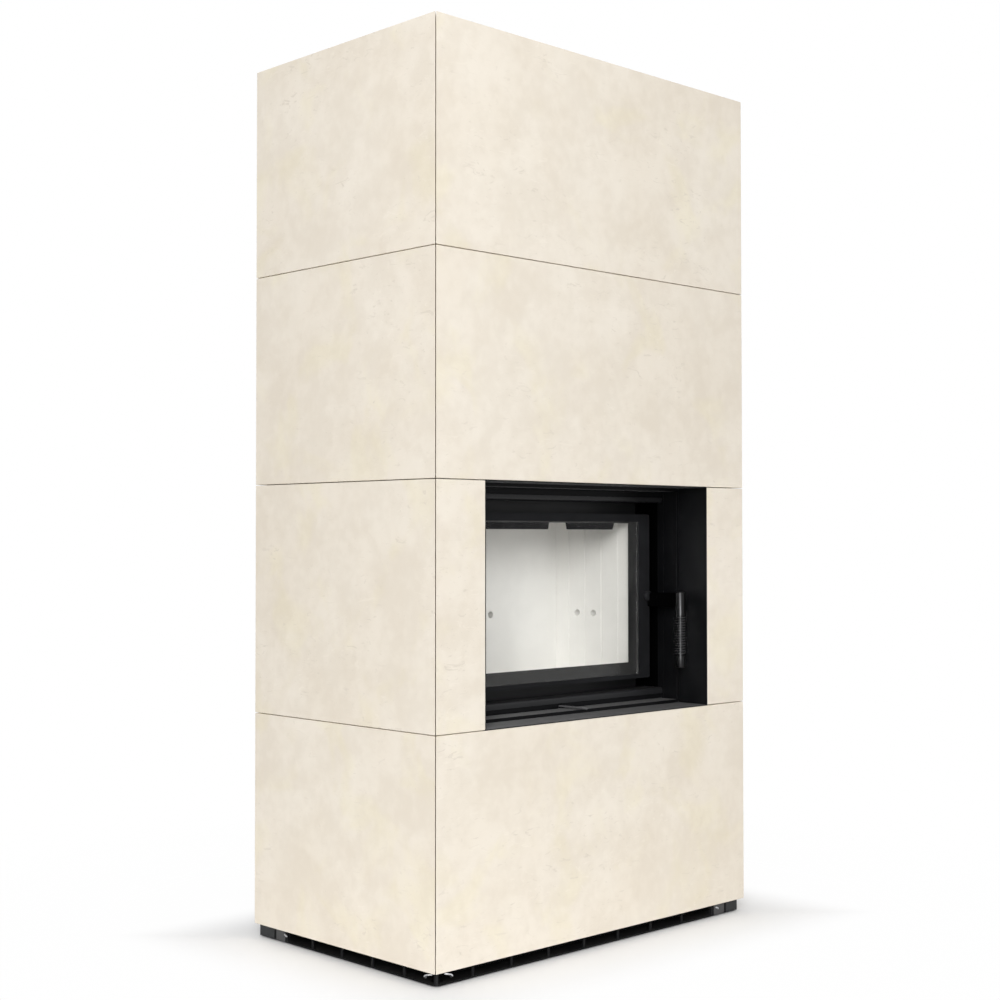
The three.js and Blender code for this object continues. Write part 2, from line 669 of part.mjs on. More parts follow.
/** The plate that closes the top, with air slots and a hole for the flue. */
function topPlate() {
  const heights = [TOP_PLATE_Z, TOP_PLATE_Z + PANEL_SHEET];
  const plate = box([-INNER_X, INNER_X], [INNER_FRONT_Y, PANEL_Y], heights);
  const through = [heights[0] - OVERSHOOT, heights[1] + OVERSHOOT];
  const hole = rod(FLUE_RADIUS + FLUE_HOLE_MARGIN, through, SIDES_LARGE);
  hole.translate(0, BODY_MIDDLE_Y, 0);
  const first = FLUE_RADIUS + FLUE_HOLE_MARGIN + TOP_SLOT_WIDTH;
  const slots = Array.from({ length: TOP_SLOTS }, (_, i) => first + i * TOP_SLOT_PITCH)
    .flatMap((offset) => [-offset - TOP_SLOT_WIDTH, offset])
    .map((x) =>
      box(
        [x, x + TOP_SLOT_WIDTH],
        [BODY_MIDDLE_Y - TOP_SLOT_LENGTH / 2, BODY_MIDDLE_Y + TOP_SLOT_LENGTH / 2],
        through,
      ),
    );
  return piece("top_plate", cut(plate, [hole, ...slots]), "blackSteel");
}

// ---- Niche ----------------------------------------------------------------

/** The black sleeve round the opening, flush with the tiles. */
function outerSleeve() {
  const ring = frontRing(SLEEVE, inset(SLEEVE, SLEEVE_SHEET), [FRONT_Y, STEP_Y]);
  return piece("niche_outer_sleeve", ring, "blackSteel");
}

/** The narrower sleeve behind it, with the step between the two. */
function innerSleeve() {
  const front = STEP_Y + SEAT;
  const step = frontRing(SLEEVE, INNER_SLEEVE, [front, front + SLEEVE_SHEET]);
  const outer = inset(INNER_SLEEVE, -SLEEVE_SHEET);
  const walls = frontRing(outer, INNER_SLEEVE, [front, STEP_Y + INNER_SLEEVE_DEPTH]);
  return piece("niche_inner_sleeve", join(step, walls), "blackSteel");
}

/** A folded rail above or below the front plate, on the plate's edge. */
function nicheRail(edgeZ, height, isTop) {
  const half = INNER_SLEEVE.right - SEAT;
  const across = [-half, half];
  const front = FRONT_Y + RAIL_SETBACK;
  const up = isTop ? 1 : -1;
  const face = [edgeZ, edgeZ + up * height].sort((a, b) => a - b);
  const fold = [edgeZ, edgeZ + up * RAIL_SHEET].sort((a, b) => a - b);
  const upstand = box(across, [front, front + RAIL_SHEET], face);
  return join(upstand, box(across, [front, PLATE_BACK_Y], fold));
}

/** The rails over and under the door. */
function nicheRails() {
  const top = nicheRail(PLATE.top + SEAT, TOP_RAIL_HEIGHT, true);
  const bottom = nicheRail(PLATE.bottom - SEAT, BOTTOM_RAIL_HEIGHT, false);
  return [
    piece("niche_rail_top", top, "doorSteel"),
    piece("niche_rail_bottom", bottom, "doorSteel"),
  ];
}

// ---- Insert: steel parts --------------------------------------------------

/** A lug on the front plate that carries a hinge pin. */
function hingeLug(bottom) {
  const reach = HINGE_BLOCK / 2;
  const heights = [bottom, bottom + LUG_THICKNESS];
  const across = [HINGE_X - reach, HINGE_X + reach];
  return box(across, [HINGE_Y - reach, PLATE_BACK_Y], heights);
}

/** The ear beside the front plate, with the lip that the latch hooks behind. */
function keeper() {
  const tip = LATCH_X + TONGUE_LENGTH;
  const postX = [tip + 2 * RUNNING, tip + 2 * RUNNING + KEEPER_LIP];
  const halfEar = KEEPER_EAR_HEIGHT / 2;
  const halfLip = KEEPER_HEIGHT / 2;
  const lipBack = TONGUE_Y - SEAT;
  const ear = box([PLATE.right - OVERSHOOT, postX[1]], [PLATE_Y, PLATE_BACK_Y], [
    LATCH_Z - halfEar,
    LATCH_Z + halfEar,
  ]);
  const lipZ = [LATCH_Z - halfLip, LATCH_Z + halfLip];
  const arm = box(postX, [lipBack - KEEPER_LIP, PLATE_Y + SEAT], lipZ);
  const lip = box([postX[1] - KEEPER_REACH, postX[1]], [lipBack - KEEPER_LIP, lipBack], lipZ);
  return join(ear, arm, lip);
}

/** The front plate with its sealing frame, hinge lugs and keeper, welded together. */
function frontFrame() {
  const plate = frontRing(PLATE, NECK, [PLATE_Y, PLATE_BACK_Y]);
  const neck = frontRing(inset(NECK, -NECK_RIM), NECK, [NECK_Y, PLATE_BACK_Y]);
  const topLug = hingeLug(DOOR.top + HINGE_GAP);
  const bottomLug = hingeLug(DOOR.bottom - HINGE_GAP - LUG_THICKNESS);
  const pinHole = rod(HINGE_PIN_RADIUS + SEAT, [PLATE.bottom, PLATE.top], SIDES_SMALL);
  pinHole.translate(HINGE_X, HINGE_Y, 0);
  const frame = join(plate, neck, topLug, bottomLug, keeper());
  return piece("front_frame", cut(frame, [pinHole]), "blackSteel");
}

/** The steel body of the firebox, open at the front. */
function fireboxBody() {
  const front = PLATE_BACK_Y + SEAT;
  const shell = box([-BODY_X, BODY_X], [front, BODY_BACK_Y], [BODY_BOTTOM, BODY_TOP]);
  const inside = box(
    [-BODY_INNER_X, BODY_INNER_X],
    [front - OVERSHOOT, BODY_BACK_Y - BODY_WALL],
    [BODY_BOTTOM + BODY_WALL, BODY_TOP - BODY_WALL],
  );
  const flue = rod(FLUE_RADIUS - FLUE_WALL - SEAT, [BODY_TOP - OVERSHOOT, BODY_TOP + OVERSHOOT],
    SIDES_LARGE);
  flue.translate(0, BODY_MIDDLE_Y, 0);
  const ash = ashHole([BODY_BOTTOM - OVERSHOOT, BODY_BOTTOM + BODY_WALL + OVERSHOOT]);
  return piece("firebox_body", cut(shell, [inside, flue, ash]), "blackSteel");
}

/** The tool for the passage under the grate. */
function ashHole(heights) {
  const y = [AIR_BOX_MIDDLE_Y - ASH_HOLE_DEPTH / 2, AIR_BOX_MIDDLE_Y + ASH_HOLE_DEPTH / 2];
  return box([-ASH_HOLE_WIDTH / 2, ASH_HOLE_WIDTH / 2], y, heights);
}

/** The collar that is bolted on the body's top. */
function flueCollar() {
  const outer = FLUE_RADIUS - FLUE_WALL - SEAT;
  const inner = outer - FLUE_WALL;
  const bottom = BODY_TOP + SEAT;
  const profile = [
    [inner, bottom],
    [outer + COLLAR_FLANGE, bottom],
    [outer + COLLAR_FLANGE, bottom + COLLAR_FLANGE_THICKNESS],
    [outer, bottom + COLLAR_FLANGE_THICKNESS],
    [outer, bottom + COLLAR_HEIGHT],
    [inner, bottom + COLLAR_HEIGHT],
  ];
  const collar = piece("flue_collar", turned([...profile, profile[0]], SIDES_LARGE), "castIron");
  collar.position.y = BODY_MIDDLE_Y;
  return collar;
}

/** The flue pipe from the collar to the top of the casing. */
function fluePipe() {
  const bottom = BODY_TOP + SEAT + COLLAR_FLANGE_THICKNESS + SEAT;
  const heights = [bottom, CASING_TOP - FLUE_TOP_MARGIN];
  const wall = tube(FLUE_RADIUS, FLUE_RADIUS - FLUE_WALL, heights, SIDES_LARGE);
  const pipe = piece("flue_pipe", wall, "blackSteel");
  pipe.position.y = BODY_MIDDLE_Y;
  return pipe;
}

/** The stand: four legs with side bars at the top and braces near the floor. */
function stand() {
  const top = BODY_BOTTOM - SEAT;
  const outer = PLATE.right - STAND_SIDE_INSET;
  const front = PLATE_BACK_Y + STAND_FRONT_INSET;
  const back = BODY_BACK_Y - STAND_REAR_INSET;
  const braceZ = [STAND_BRACE_HEIGHT, STAND_BRACE_HEIGHT + STAND_TUBE];
  const depths = [[front, front + STAND_TUBE], [back - STAND_TUBE, back]];
  const sides = [[-outer, -outer + STAND_TUBE], [outer - STAND_TUBE, outer]];
  const legs = sides.flatMap((x) => depths.map((y) => box(x, y, [0, top])));
  const bars = sides.map((x) => box(x, [front, back], [top - STAND_TUBE, top]));
  const braces = depths.map((y) => box([-outer, outer], y, braceZ));
  return piece("insert_stand", join(...legs, ...bars, ...braces), "frameSteel");
}

// ---- Insert: lining, hearth and baffle ------------------------------------

/** A side board of the lining, with joints, air holes and the lip through the neck. */
function sideLining(side) {
  const front = PLATE_BACK_Y + SEAT;
  const back = REAR_LINING_Y - SEAT;
  const lipFront = NECK_Y + SEAT;
  const lipBack = front + LINING_LIP;
  const board = [
    [liningX(front), front],
    [liningX(front) + LINING_THICKNESS, front],
    [liningX(back) + LINING_THICKNESS, back],
    [liningX(back), back],
  ];
  const lip = [
    [liningX(lipFront), lipFront],
    [liningX(lipFront) + LINING_LIP, lipFront],
    [liningX(lipBack) + LINING_LIP, lipBack],
    [liningX(lipBack), lipBack],
  ];
  const outline = (points) => vectors(side < 0 ? mirrored(points) : points);
  const boardZ = [LINING_Z, LINING_TOP];
  const lipZ = [NECK.bottom + SEAT, NECK.top - SEAT];
  const whole = join(upright(outline(board), boardZ), upright(outline(lip), lipZ));
  const joints = Array.from({ length: GROOVES }, (_, i) => {
    const y = PLATE_Y + GROOVE_FIRST + i * GROOVE_PITCH;
    const across = [liningX(y) - OVERSHOOT, liningX(y) + GROOVE_DEPTH].map((x) => side * x);
    const depths = [y - GROOVE_WIDTH / 2, y + GROOVE_WIDTH / 2];
    const heights = [boardZ[0] - OVERSHOOT, boardZ[1] + OVERSHOOT];
    return box(across.sort((a, b) => a - b), depths, heights);
  });
  const holes = AIR_HOLE_PLACES.map((place) => {
    const y = PLATE_Y + GROOVE_FIRST + place * GROOVE_PITCH;
    const across = [liningX(y) - OVERSHOOT, liningX(y) + AIR_HOLE_DEPTH].map((x) => side * x);
    const hole = rod(AIR_HOLE_RADIUS, across.sort((a, b) => a - b), SIDES_SMALL);
    return alongX(hole).translate(0, y, HEARTH_Z + AIR_HOLE_HEIGHT);
  });
  return cut(whole, [...joints, ...holes]);
}

/** The rear board of the lining, with its air hole. */
function rearLining() {
  const half = liningX(REAR_LINING_Y) + LINING_THICKNESS;
  const heights = [LINING_Z, LINING_TOP];
  const depths = [REAR_LINING_Y, REAR_LINING_Y + LINING_THICKNESS];
  const drilled = [REAR_LINING_Y - OVERSHOOT, REAR_LINING_Y + AIR_HOLE_DEPTH];
  const z = HEARTH_Z + AIR_HOLE_HEIGHT;
  const hole = holeAlongY(0, z, AIR_HOLE_RADIUS, drilled, SIDES_SMALL);
  return cut(box([-half, half], depths, heights), [hole]);
}

/** The hearth slab, with a seat for the grate. */
function hearthSlab() {
  const front = PLATE_BACK_Y + SEAT;
  const back = BODY_BACK_Y - BODY_WALL - SEAT;
  const half = BODY_INNER_X - SEAT;
  const slab = box([-half, half], [front, back], [HEARTH_Z - HEARTH_SLAB, HEARTH_Z]);
  const seat = grateOutline(SEAT, [GRATE_Z - SEAT, HEARTH_Z + OVERSHOOT]);
  const passage = grateOutline(-GRATE_LEDGE, [BODY_BOTTOM, HEARTH_Z + OVERSHOOT]);
  return cut(slab, [seat, passage]);
}

/** The grate's outline, made larger on each side. */
function grateOutline(larger, heights) {
  const halfX = GRATE_WIDTH / 2 + larger;
  const halfY = GRATE_DEPTH / 2 + larger;
  return box([-halfX, halfX], [AIR_BOX_MIDDLE_Y - halfY, AIR_BOX_MIDDLE_Y + halfY], heights);
}

/** The cast grate. */
function grate() {
  const pitch = (GRATE_WIDTH - 2 * GRATE_EDGE) / GRATE_SLOTS;
  const halfY = GRATE_DEPTH / 2 - GRATE_EDGE;
  const slots = spread(GRATE_SLOTS, pitch).map((x) =>
    box(
      [x - GRATE_SLOT_WIDTH / 2, x + GRATE_SLOT_WIDTH / 2],
      [AIR_BOX_MIDDLE_Y - halfY, AIR_BOX_MIDDLE_Y + halfY],
      [GRATE_Z - OVERSHOOT, HEARTH_Z + OVERSHOOT],
    ),
  );
  return cut(grateOutline(0, [GRATE_Z, HEARTH_Z]), slots);
}

/** The baffle on top of the side boards, against the rear wall. */
function baffle() {
  const back = REAR_LINING_Y + LINING_THICKNESS;
  const half = liningX(PLATE_BACK_Y) + LINING_THICKNESS;
  const heights = [BAFFLE_Z, BAFFLE_Z + BAFFLE_THICKNESS];
  return box([-half, half], [back - BAFFLE_DEPTH, back], heights);
}

/** The firebox's lining and what lies in it. */
function lining() {
  return [
    piece("lining_left", sideLining(-1), "lining"),
    piece("lining_right", sideLining(1), "lining"),
    piece("lining_rear", rearLining(), "lining"),
    piece("hearth_slab", hearthSlab(), "lining"),
    piece("baffle", baffle(), "lining"),
    piece("grate", grate(), "castIron"),
  ];
}

// ---- Air supply -----------------------------------------------------------

/** The air box under the body, with the shelf that the damper slides on. */
function airBox() {
  const sheet = AIR_BOX_SHEET;
  const half = AIR_BOX_WIDTH / 2;
  const shell = box([-half, half], [AIR_BOX_Y, AIR_BOX_BACK_Y], [AIR_BOX_BOTTOM, AIR_BOX_TOP]);
  const across = [-half + sheet, half - sheet];
  const depths = [AIR_BOX_Y + sheet, AIR_BOX_BACK_Y - sheet];
  const lower = box(across, depths, [AIR_BOX_BOTTOM + sheet, SHELF_TOP - sheet]);
  const upper = box(across, depths, [SHELF_TOP, AIR_BOX_TOP + OVERSHOOT]);
  const port = box(
    [-AIR_PORT_WIDTH / 2, AIR_PORT_WIDTH / 2],
    [AIR_PORT_Y, AIR_PORT_Y + AIR_PORT_DEPTH],
    [SHELF_TOP - sheet - OVERSHOOT, SHELF_TOP + OVERSHOOT],
  );
  const rodHole = holeAlongY(0, ROD_Z, ROD_RADIUS + SEAT,
    [AIR_BOX_Y - OVERSHOOT, depths[0] + SEAT], SIDES_SMALL);
  const ductHole = holeAlongY(0, AIR_DUCT_Z, AIR_DUCT_RADIUS - AIR_DUCT_WALL,
    [depths[1] - SEAT, AIR_BOX_BACK_Y + OVERSHOOT], SIDES_LARGE);
  return piece("air_box", cut(shell, [lower, upper, port, rodHole, ductHole]), "blackSteel");
}

/** The duct from the air box through the back of the casing. */
function airDuct() {
  const depths = [AIR_BOX_BACK_Y + SEAT, BACK_Y];
  const wall = tube(AIR_DUCT_RADIUS, AIR_DUCT_RADIUS - AIR_DUCT_WALL, depths, SIDES_LARGE);
  return piece("air_duct", alongY(wall).translate(0, 0, AIR_DUCT_Z), "zinc");
}

/** The damper plate, with the tab that the rod is fixed to. */
function damper() {
  const across = [-DAMPER_WIDTH / 2, DAMPER_WIDTH / 2];
  const plate = box(across, [DAMPER_Y, DAMPER_Y + DAMPER_DEPTH], [DAMPER_Z, DAMPER_Z + DAMPER_SHEET]);
  const tab = box(
    [-DAMPER_TAB_WIDTH / 2, DAMPER_TAB_WIDTH / 2],
    [DAMPER_Y, DAMPER_Y + DAMPER_SHEET],
    [DAMPER_Z, DAMPER_Z + DAMPER_TAB_HEIGHT],
  );
  return piece("air_damper", join(plate, tab), "zinc");
}

/** The rod that is pulled for more air, with its knob. */
function airRod() {
  const tip = DOOR_Y - ROD_REACH;
  const profile = [
    [0, tip],
    [KNOB_RADIUS, tip],
    [KNOB_RADIUS, tip + KNOB_LENGTH],
    [ROD_RADIUS, tip + KNOB_LENGTH],
    [ROD_RADIUS, DAMPER_Y - SEAT],
    [0, DAMPER_Y - SEAT],
  ];
  const pulled = alongY(turned(profile, SIDES_MEDIUM)).translate(0, 0, ROD_Z);
  return piece("air_control_rod", pulled, "gunmetal");
}

// ---- Door -----------------------------------------------------------------

/** A block in a left corner of the door frame that takes a hinge pin. */
function hingeBlock(heights) {
  const half = HINGE_BLOCK / 2;
  return box([DOOR.left, HINGE_X + half], [HINGE_Y - half, DOOR_Y + DOOR_SKIRT_DEPTH], heights);
}

/** The slot in the door's right skirt that the latch tongue comes out of. */
function tongueSlot() {
  const across = [DOOR.right - DOOR_SHEET - OVERSHOOT, DOOR.right + OVERSHOOT];
  const depths = [TONGUE_Y - RUNNING, TONGUE_BACK_Y + RUNNING];
  const heights = [LATCH_Z - TONGUE_LENGTH - TONGUE_WIDTH / 2, LATCH_Z + TONGUE_WIDTH / 2 + RUNNING];
  return box(across, depths, heights);
}

/** The door frame: a face, a skirt round it, hinge blocks and the latch bush. */
function doorFrame() {
  const back = DOOR_Y + DOOR_SKIRT_DEPTH;
  const face = frontRing(DOOR, LIGHT, [DOOR_Y, DOOR_Y + DOOR_SHEET]);
  const skirt = frontRing(DOOR, inset(DOOR, DOOR_SHEET), [DOOR_Y, back]);
  const bush = holeAlongY(LATCH_X, LATCH_Z, BUSH_RADIUS, [DOOR_Y + SEAT, DOOR_Y + BUSH_DEPTH],
    SIDES_MEDIUM);
  const bore = holeAlongY(LATCH_X, LATCH_Z, SHAFT_RADIUS + SEAT,
    [DOOR_Y - OVERSHOOT, back + OVERSHOOT], SIDES_MEDIUM);
  const blocks = [
    hingeBlock([DOOR.bottom, DOOR.bottom + HINGE_BLOCK]),
    hingeBlock([DOOR.top - HINGE_BLOCK, DOOR.top]),
  ];
  const pin = rod(HINGE_PIN_RADIUS + SEAT, [PLATE.bottom, PLATE.top], SIDES_SMALL);
  pin.translate(HINGE_X, HINGE_Y, 0);
  const frame = join(face, skirt, bush, ...blocks);
  return piece("door_frame", cut(frame, [pin, bore, tongueSlot()]), "doorSteel");
}

/** The pane, flush in the frame. */
function doorGlass() {
  const pane = inset(LIGHT, SEAT);
  const front = DOOR_Y + GLASS_RECESS;
  const depths = [front, front + GLASS_THICKNESS];
  return piece("door_glass", box([pane.left, pane.right], depths, [pane.bottom, pane.top]), "glass");
}

/** The rope seal between the door and the neck. */
function doorSeal() {
  const middle = inset(NECK, -NECK_RIM / 2);
  const half = SEAL_WIDTH / 2;
  const depths = [DOOR_Y + DOOR_SHEET + GLASS_RECESS + SEAT, NECK_Y - SEAT];
  const ring = frontRing(inset(middle, -half), inset(middle, half), depths);
  return piece("door_seal", ring, "rope");
}

/** A clip behind the pane's upper edge. */
function glassClip(span) {
  const front = DOOR_Y + GLASS_RECESS + GLASS_THICKNESS + SEAT;
  const top = LIGHT.top - SEAT;
  return box(span, [front, front + CLIP_THICKNESS], [top - CLIP_HEIGHT, top]);
}

/** The lower hinge pin, with the collar that the door stands on. */
function lowerHingePin() {
  const lug = DOOR.bottom - HINGE_GAP;
  const profile = [
    [0, lug - LUG_THICKNESS - SEAT],
    [HINGE_PIN_RADIUS, lug - LUG_THICKNESS - SEAT],
    [HINGE_PIN_RADIUS, lug + SEAT],
    [HINGE_COLLAR_RADIUS, lug + SEAT],
    [HINGE_COLLAR_RADIUS, DOOR.bottom - SEAT],
    [HINGE_PIN_RADIUS, DOOR.bottom - SEAT],
    [HINGE_PIN_RADIUS, DOOR.bottom + HINGE_BLOCK],
    [0, DOOR.bottom + HINGE_BLOCK],
  ];
  return turned(profile, SIDES_SMALL);
}

/** The upper hinge pin, whose head lies on its lug. */
function upperHingePin() {
  const lug = DOOR.top + HINGE_GAP + LUG_THICKNESS + SEAT;
  const head = lug + HINGE_GAP;
  const profile = [
    [0, DOOR.top - HINGE_BLOCK],
    [HINGE_PIN_RADIUS, DOOR.top - HINGE_BLOCK],
    [HINGE_PIN_RADIUS, lug],
    [HINGE_COLLAR_RADIUS, lug],
    [HINGE_COLLAR_RADIUS, head],
    [0, head],
  ];
  return turned(profile, SIDES_SMALL);
}

/** The two hinge pins, on the door's axis. */
function hingePins() {
  const pins = [
    piece("hinge_pin_lower", lowerHingePin(), "zinc"),
    piece("hinge_pin_upper", upperHingePin(), "zinc"),
  ];
  pins.forEach((pin) => pin.position.set(HINGE_X, HINGE_Y, 0));
  return pins;
}

// ---- Latch and handle -----------------------------------------------------

/** The shaft through the door. */
function latchShaft() {
  const shaft = holeAlongY(0, 0, SHAFT_RADIUS, [BOSS_Y + SEAT, TONGUE_BACK_Y], SIDES_MEDIUM);
  return piece("latch_shaft", shaft, "zinc");
}

/** The tongue on the shaft's inner end; closed, it points to the keeper. */
function latchTongue() {
  const depths = [TONGUE_Y, TONGUE_BACK_Y];
  const hub = holeAlongY(0, 0, TONGUE_HUB_RADIUS, depths, SIDES_MEDIUM);
  const bar = box([0, TONGUE_LENGTH], depths, [-TONGUE_WIDTH / 2, TONGUE_WIDTH / 2]);
  const bore = holeAlongY(0, 0, SHAFT_RADIUS + SEAT,
    [TONGUE_Y - OVERSHOOT, TONGUE_BACK_Y + OVERSHOOT], SIDES_MEDIUM);
  return piece("latch_tongue", cut(join(hub, bar), [bore]), "zinc");
}

/** Both edges of a band along a curve seen from above. */
function bandOutline(curve, thickness) {
  const places = Array.from({ length: ARM_STEPS + 1 }, (_, i) => i / ARM_STEPS);
  const edge = (side) =>
    places.map((t) => {
      const point = curve.getPoint(t);
      const along = curve.getTangent(t);
      return [point.x - (side * along.y * thickness) / 2, point.y + (side * along.x * thickness) / 2];
    });
  return [...edge(-1), ...edge(1).reverse()];
}

/** The curved arm from the shaft's boss to the grip. */
function handleArm() {
  const curve = new THREE.QuadraticBezierCurve(
    new THREE.Vector2(0, BOSS_Y + BOSS_LENGTH / 2),
    new THREE.Vector2(GRIP_OFFSET, GRIP_Y + ARM_BEND),
    new THREE.Vector2(GRIP_OFFSET, GRIP_Y),
  );
  const heights = [-ARM_BELOW_SHAFT, ARM_ABOVE_SHAFT];
  const band = upright(vectors(bandOutline(curve, ARM_THICKNESS)), heights);
  const boss = holeAlongY(0, 0, BOSS_RADIUS, [BOSS_Y - SEAT, BOSS_BACK_Y], SIDES_MEDIUM);
  const bore = holeAlongY(0, 0, SHAFT_RADIUS + SEAT, [BOSS_Y, BOSS_BACK_Y + OVERSHOOT], SIDES_MEDIUM);
  const across = [-BOSS_RADIUS - OVERSHOOT, BOSS_RADIUS + OVERSHOOT];
  const tall = [heights[0] - OVERSHOOT, heights[1] + OVERSHOOT];
  const doorSide = box(across, [BOSS_BACK_Y, DOOR_Y + OVERSHOOT], tall);
  const grip = rod(GRIP_RADIUS + SEAT, tall, SIDES_MEDIUM);
  grip.translate(GRIP_OFFSET, GRIP_Y, 0);
  return piece("handle_arm", cut(join(band, boss), [bore, doorSide, grip]), "gunmetal");
}

/** The grip: a core between a long upper sleeve and a short lower one. */
function handleGrip() {
  const lower = GRIP_BOTTOM_SLEEVE;
  const upper = GRIP_LENGTH - GRIP_TOP_SLEEVE;
  const edge = GRIP_RADIUS - GRIP_CHAMFER;
  const profile = [
    [0, 0],
    [edge, 0],
    [GRIP_RADIUS, GRIP_CHAMFER],
    [GRIP_RADIUS, lower],
    [CORE_RADIUS, lower],
    [CORE_RADIUS, upper],
    [GRIP_RADIUS, upper],
    [GRIP_RADIUS, GRIP_LENGTH - GRIP_CHAMFER],
    [edge, GRIP_LENGTH],
    [0, GRIP_LENGTH],
  ];
  return piece("handle_grip", turned(profile, SIDES_MEDIUM), "gunmetal");
}

/** The centre line of the coil round the grip's core. */
class Coil extends THREE.Curve {
  getPoint(t) {
    const angle = t * COIL_TURNS * 2 * Math.PI;
    const radius = GRIP_RADIUS - COIL_WIRE_RADIUS;
    const end = COIL_WIRE_RADIUS + SEAT;
    const low = GRIP_BOTTOM_SLEEVE + end;
    const high = GRIP_LENGTH - GRIP_TOP_SLEEVE - end;
    const z = low + t * (high - low);
    return new THREE.Vector3(radius * Math.cos(angle), radius * Math.sin(angle), z);
  }
}

/** The wire coil that keeps the grip cool. */
function handleCoil() {
  const section = Array.from({ length: COIL_SIDES }, (_, i) => {
    const angle = (i / COIL_SIDES) * 2 * Math.PI;
    return [COIL_WIRE_RADIUS * Math.cos(angle), COIL_WIRE_RADIUS * Math.sin(angle)];
  });
  const options = { steps: COIL_TURNS * COIL_STEPS_PER_TURN, extrudePath: new Coil() };
  const wire = new THREE.ExtrudeGeometry(new THREE.Shape(vectors(section)), options);
  return piece("handle_coil", wire, "gunmetal");
}

/** Everything that turns with the handle, round the shaft's axis. */
function latch() {
  const grip = group(handleGrip(), handleCoil());
  grip.position.set(GRIP_OFFSET, GRIP_Y, GRIP_Z - LATCH_Z);
  const moving = group(latchShaft(), latchTongue(), handleArm(), grip);
  moving.position.set(LATCH_X, 0, LATCH_Z);
  return moving;
}

// ---- The whole stove ------------------------------------------------------

/** The door and what it carries. */
function door() {
  const clips = [
    piece("glass_clip_left", glassClip([LIGHT.left + LEFT_CLIP_CORNER, LEFT_CLIP_END]), "doorSteel"),
    piece("glass_clip_right", glassClip([RIGHT_CLIP_START, LIGHT.right - RIGHT_CLIP_CORNER]), "doorSteel"),
  ];
  return group(doorFrame(), doorGlass(), doorSeal(), clips, latch());
}

/** The casing: plinth, frame, tiles, insulation, panels and niche. */
function casing() {
  const base = [piece("plinth_frame", plinth(), "blackSteel"), feet()].flat();
  const inside = [insulation(), rearPanel(), topPlate()].flat();
  const niche = [outerSleeve(), innerSleeve(), nicheRails()].flat();
  return group(base, posts(), crossRails(), tiles(), inside, niche);
}

/** The fireplace insert without its door. */
function insert() {
  const steel = [frontFrame(), fireboxBody(), flueCollar(), fluePipe(), stand()];
  return group(steel, lining(), hingePins(), airBox(), airDuct());
}

/** The air control that slides to the front. */
function airControl() {
  return group(airRod(), damper());
}

const stove = group(casing(), insert(), door(), airControl());
stove.name = "tiled_stove";

export default stove;
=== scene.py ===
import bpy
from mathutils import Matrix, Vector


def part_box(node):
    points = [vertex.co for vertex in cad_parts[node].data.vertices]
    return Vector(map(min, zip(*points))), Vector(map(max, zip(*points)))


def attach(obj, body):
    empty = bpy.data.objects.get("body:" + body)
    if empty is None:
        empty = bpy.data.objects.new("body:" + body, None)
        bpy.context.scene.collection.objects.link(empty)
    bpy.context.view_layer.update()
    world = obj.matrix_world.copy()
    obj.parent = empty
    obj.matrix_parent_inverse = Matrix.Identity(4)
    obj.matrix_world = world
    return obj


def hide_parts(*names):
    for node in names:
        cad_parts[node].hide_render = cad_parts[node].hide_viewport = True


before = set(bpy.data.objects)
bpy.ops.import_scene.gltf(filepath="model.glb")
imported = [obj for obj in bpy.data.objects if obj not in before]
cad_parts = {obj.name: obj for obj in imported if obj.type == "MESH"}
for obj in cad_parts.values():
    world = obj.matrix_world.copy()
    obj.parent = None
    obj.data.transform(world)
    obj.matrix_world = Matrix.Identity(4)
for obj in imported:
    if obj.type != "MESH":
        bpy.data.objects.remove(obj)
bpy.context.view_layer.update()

import math

import bmesh
import bpy
import numpy as np
from mathutils import Vector

bl_info = {
    "name": "Tiled Stove",
    "version": (1, 0, 0),
    "blender": (4, 5, 0),
    "location": "View3D > Sidebar > Tiled Stove",
    "description": "Surfaces, finishes and studio of a tiled stove with a glazed steel insert",
    "category": "Object",
}

MM = 0.001  # sizes below are written in millimetres
HAIR = 0.05 * MM  # radius of a corner that looks sharp
BEND_POINTS = 7
ARRIS_STEPS = 3
MERGE_UNDER, FLAT_UNDER = 0.01 * MM, math.radians(0.5)  # where points and faces become one
SMOOTH_UNDER, ROUND_OVER = math.radians(35), math.radians(38)


# ---- Surfaces ---------------------------------------------------------------


def quads(rows, columns, closed):
    """Corners of the faces of a grid of points: each face takes a point, the next one in its
    row, and the two beside them in the next row. Each row closes on itself, and closed, the
    last row joins the first."""
    row = np.arange(rows if closed else rows - 1)[:, None]
    column = np.arange(columns)[None, :]
    here, over = row * columns, (row + 1) % rows * columns
    beside = (column + 1) % columns
    corners = [here + column, here + beside, over + beside, over + column]
    return np.stack(corners, -1).reshape(-1, 4)


def lofted(loops, closed=False):
    """A shell through loops of points: point (i, j) is point j of loop i, and its ends are
    filled unless the loops go round."""
    loops = np.asarray(loops, float)
    rows, columns = loops.shape[:2]
    faces = [quads(rows, columns, closed)]
    if not closed:
        faces += [np.arange(columns)[None, ::-1], np.arange(columns)[None, :] + (rows - 1) * columns]
    return loops.reshape(-1, 3), faces


def placed(flat, depth, axis):
    """Points (u, v) of a flat figure at a depth along an axis: seen from above along Z, from
    the front along Y and from the right along X."""
    u, v = np.asarray(flat, float).T
    w = np.full_like(u, depth)
    return np.stack({"Z": (u, v, w), "Y": (u, w, v), "X": (w, u, v)}[axis], -1)


def prism(outline, span, axis):
    """A flat outline carried straight along an axis between two depths."""
    return lofted([placed(outline, depth, axis) for depth in span])


def block(low, high):
    """The closed shell between two corners."""
    (x0, y0, z0), (x1, y1, z1) = low, high
    return prism([(x0, y0), (x1, y0), (x1, y1), (x0, y1)], (z0, z1), "Z")


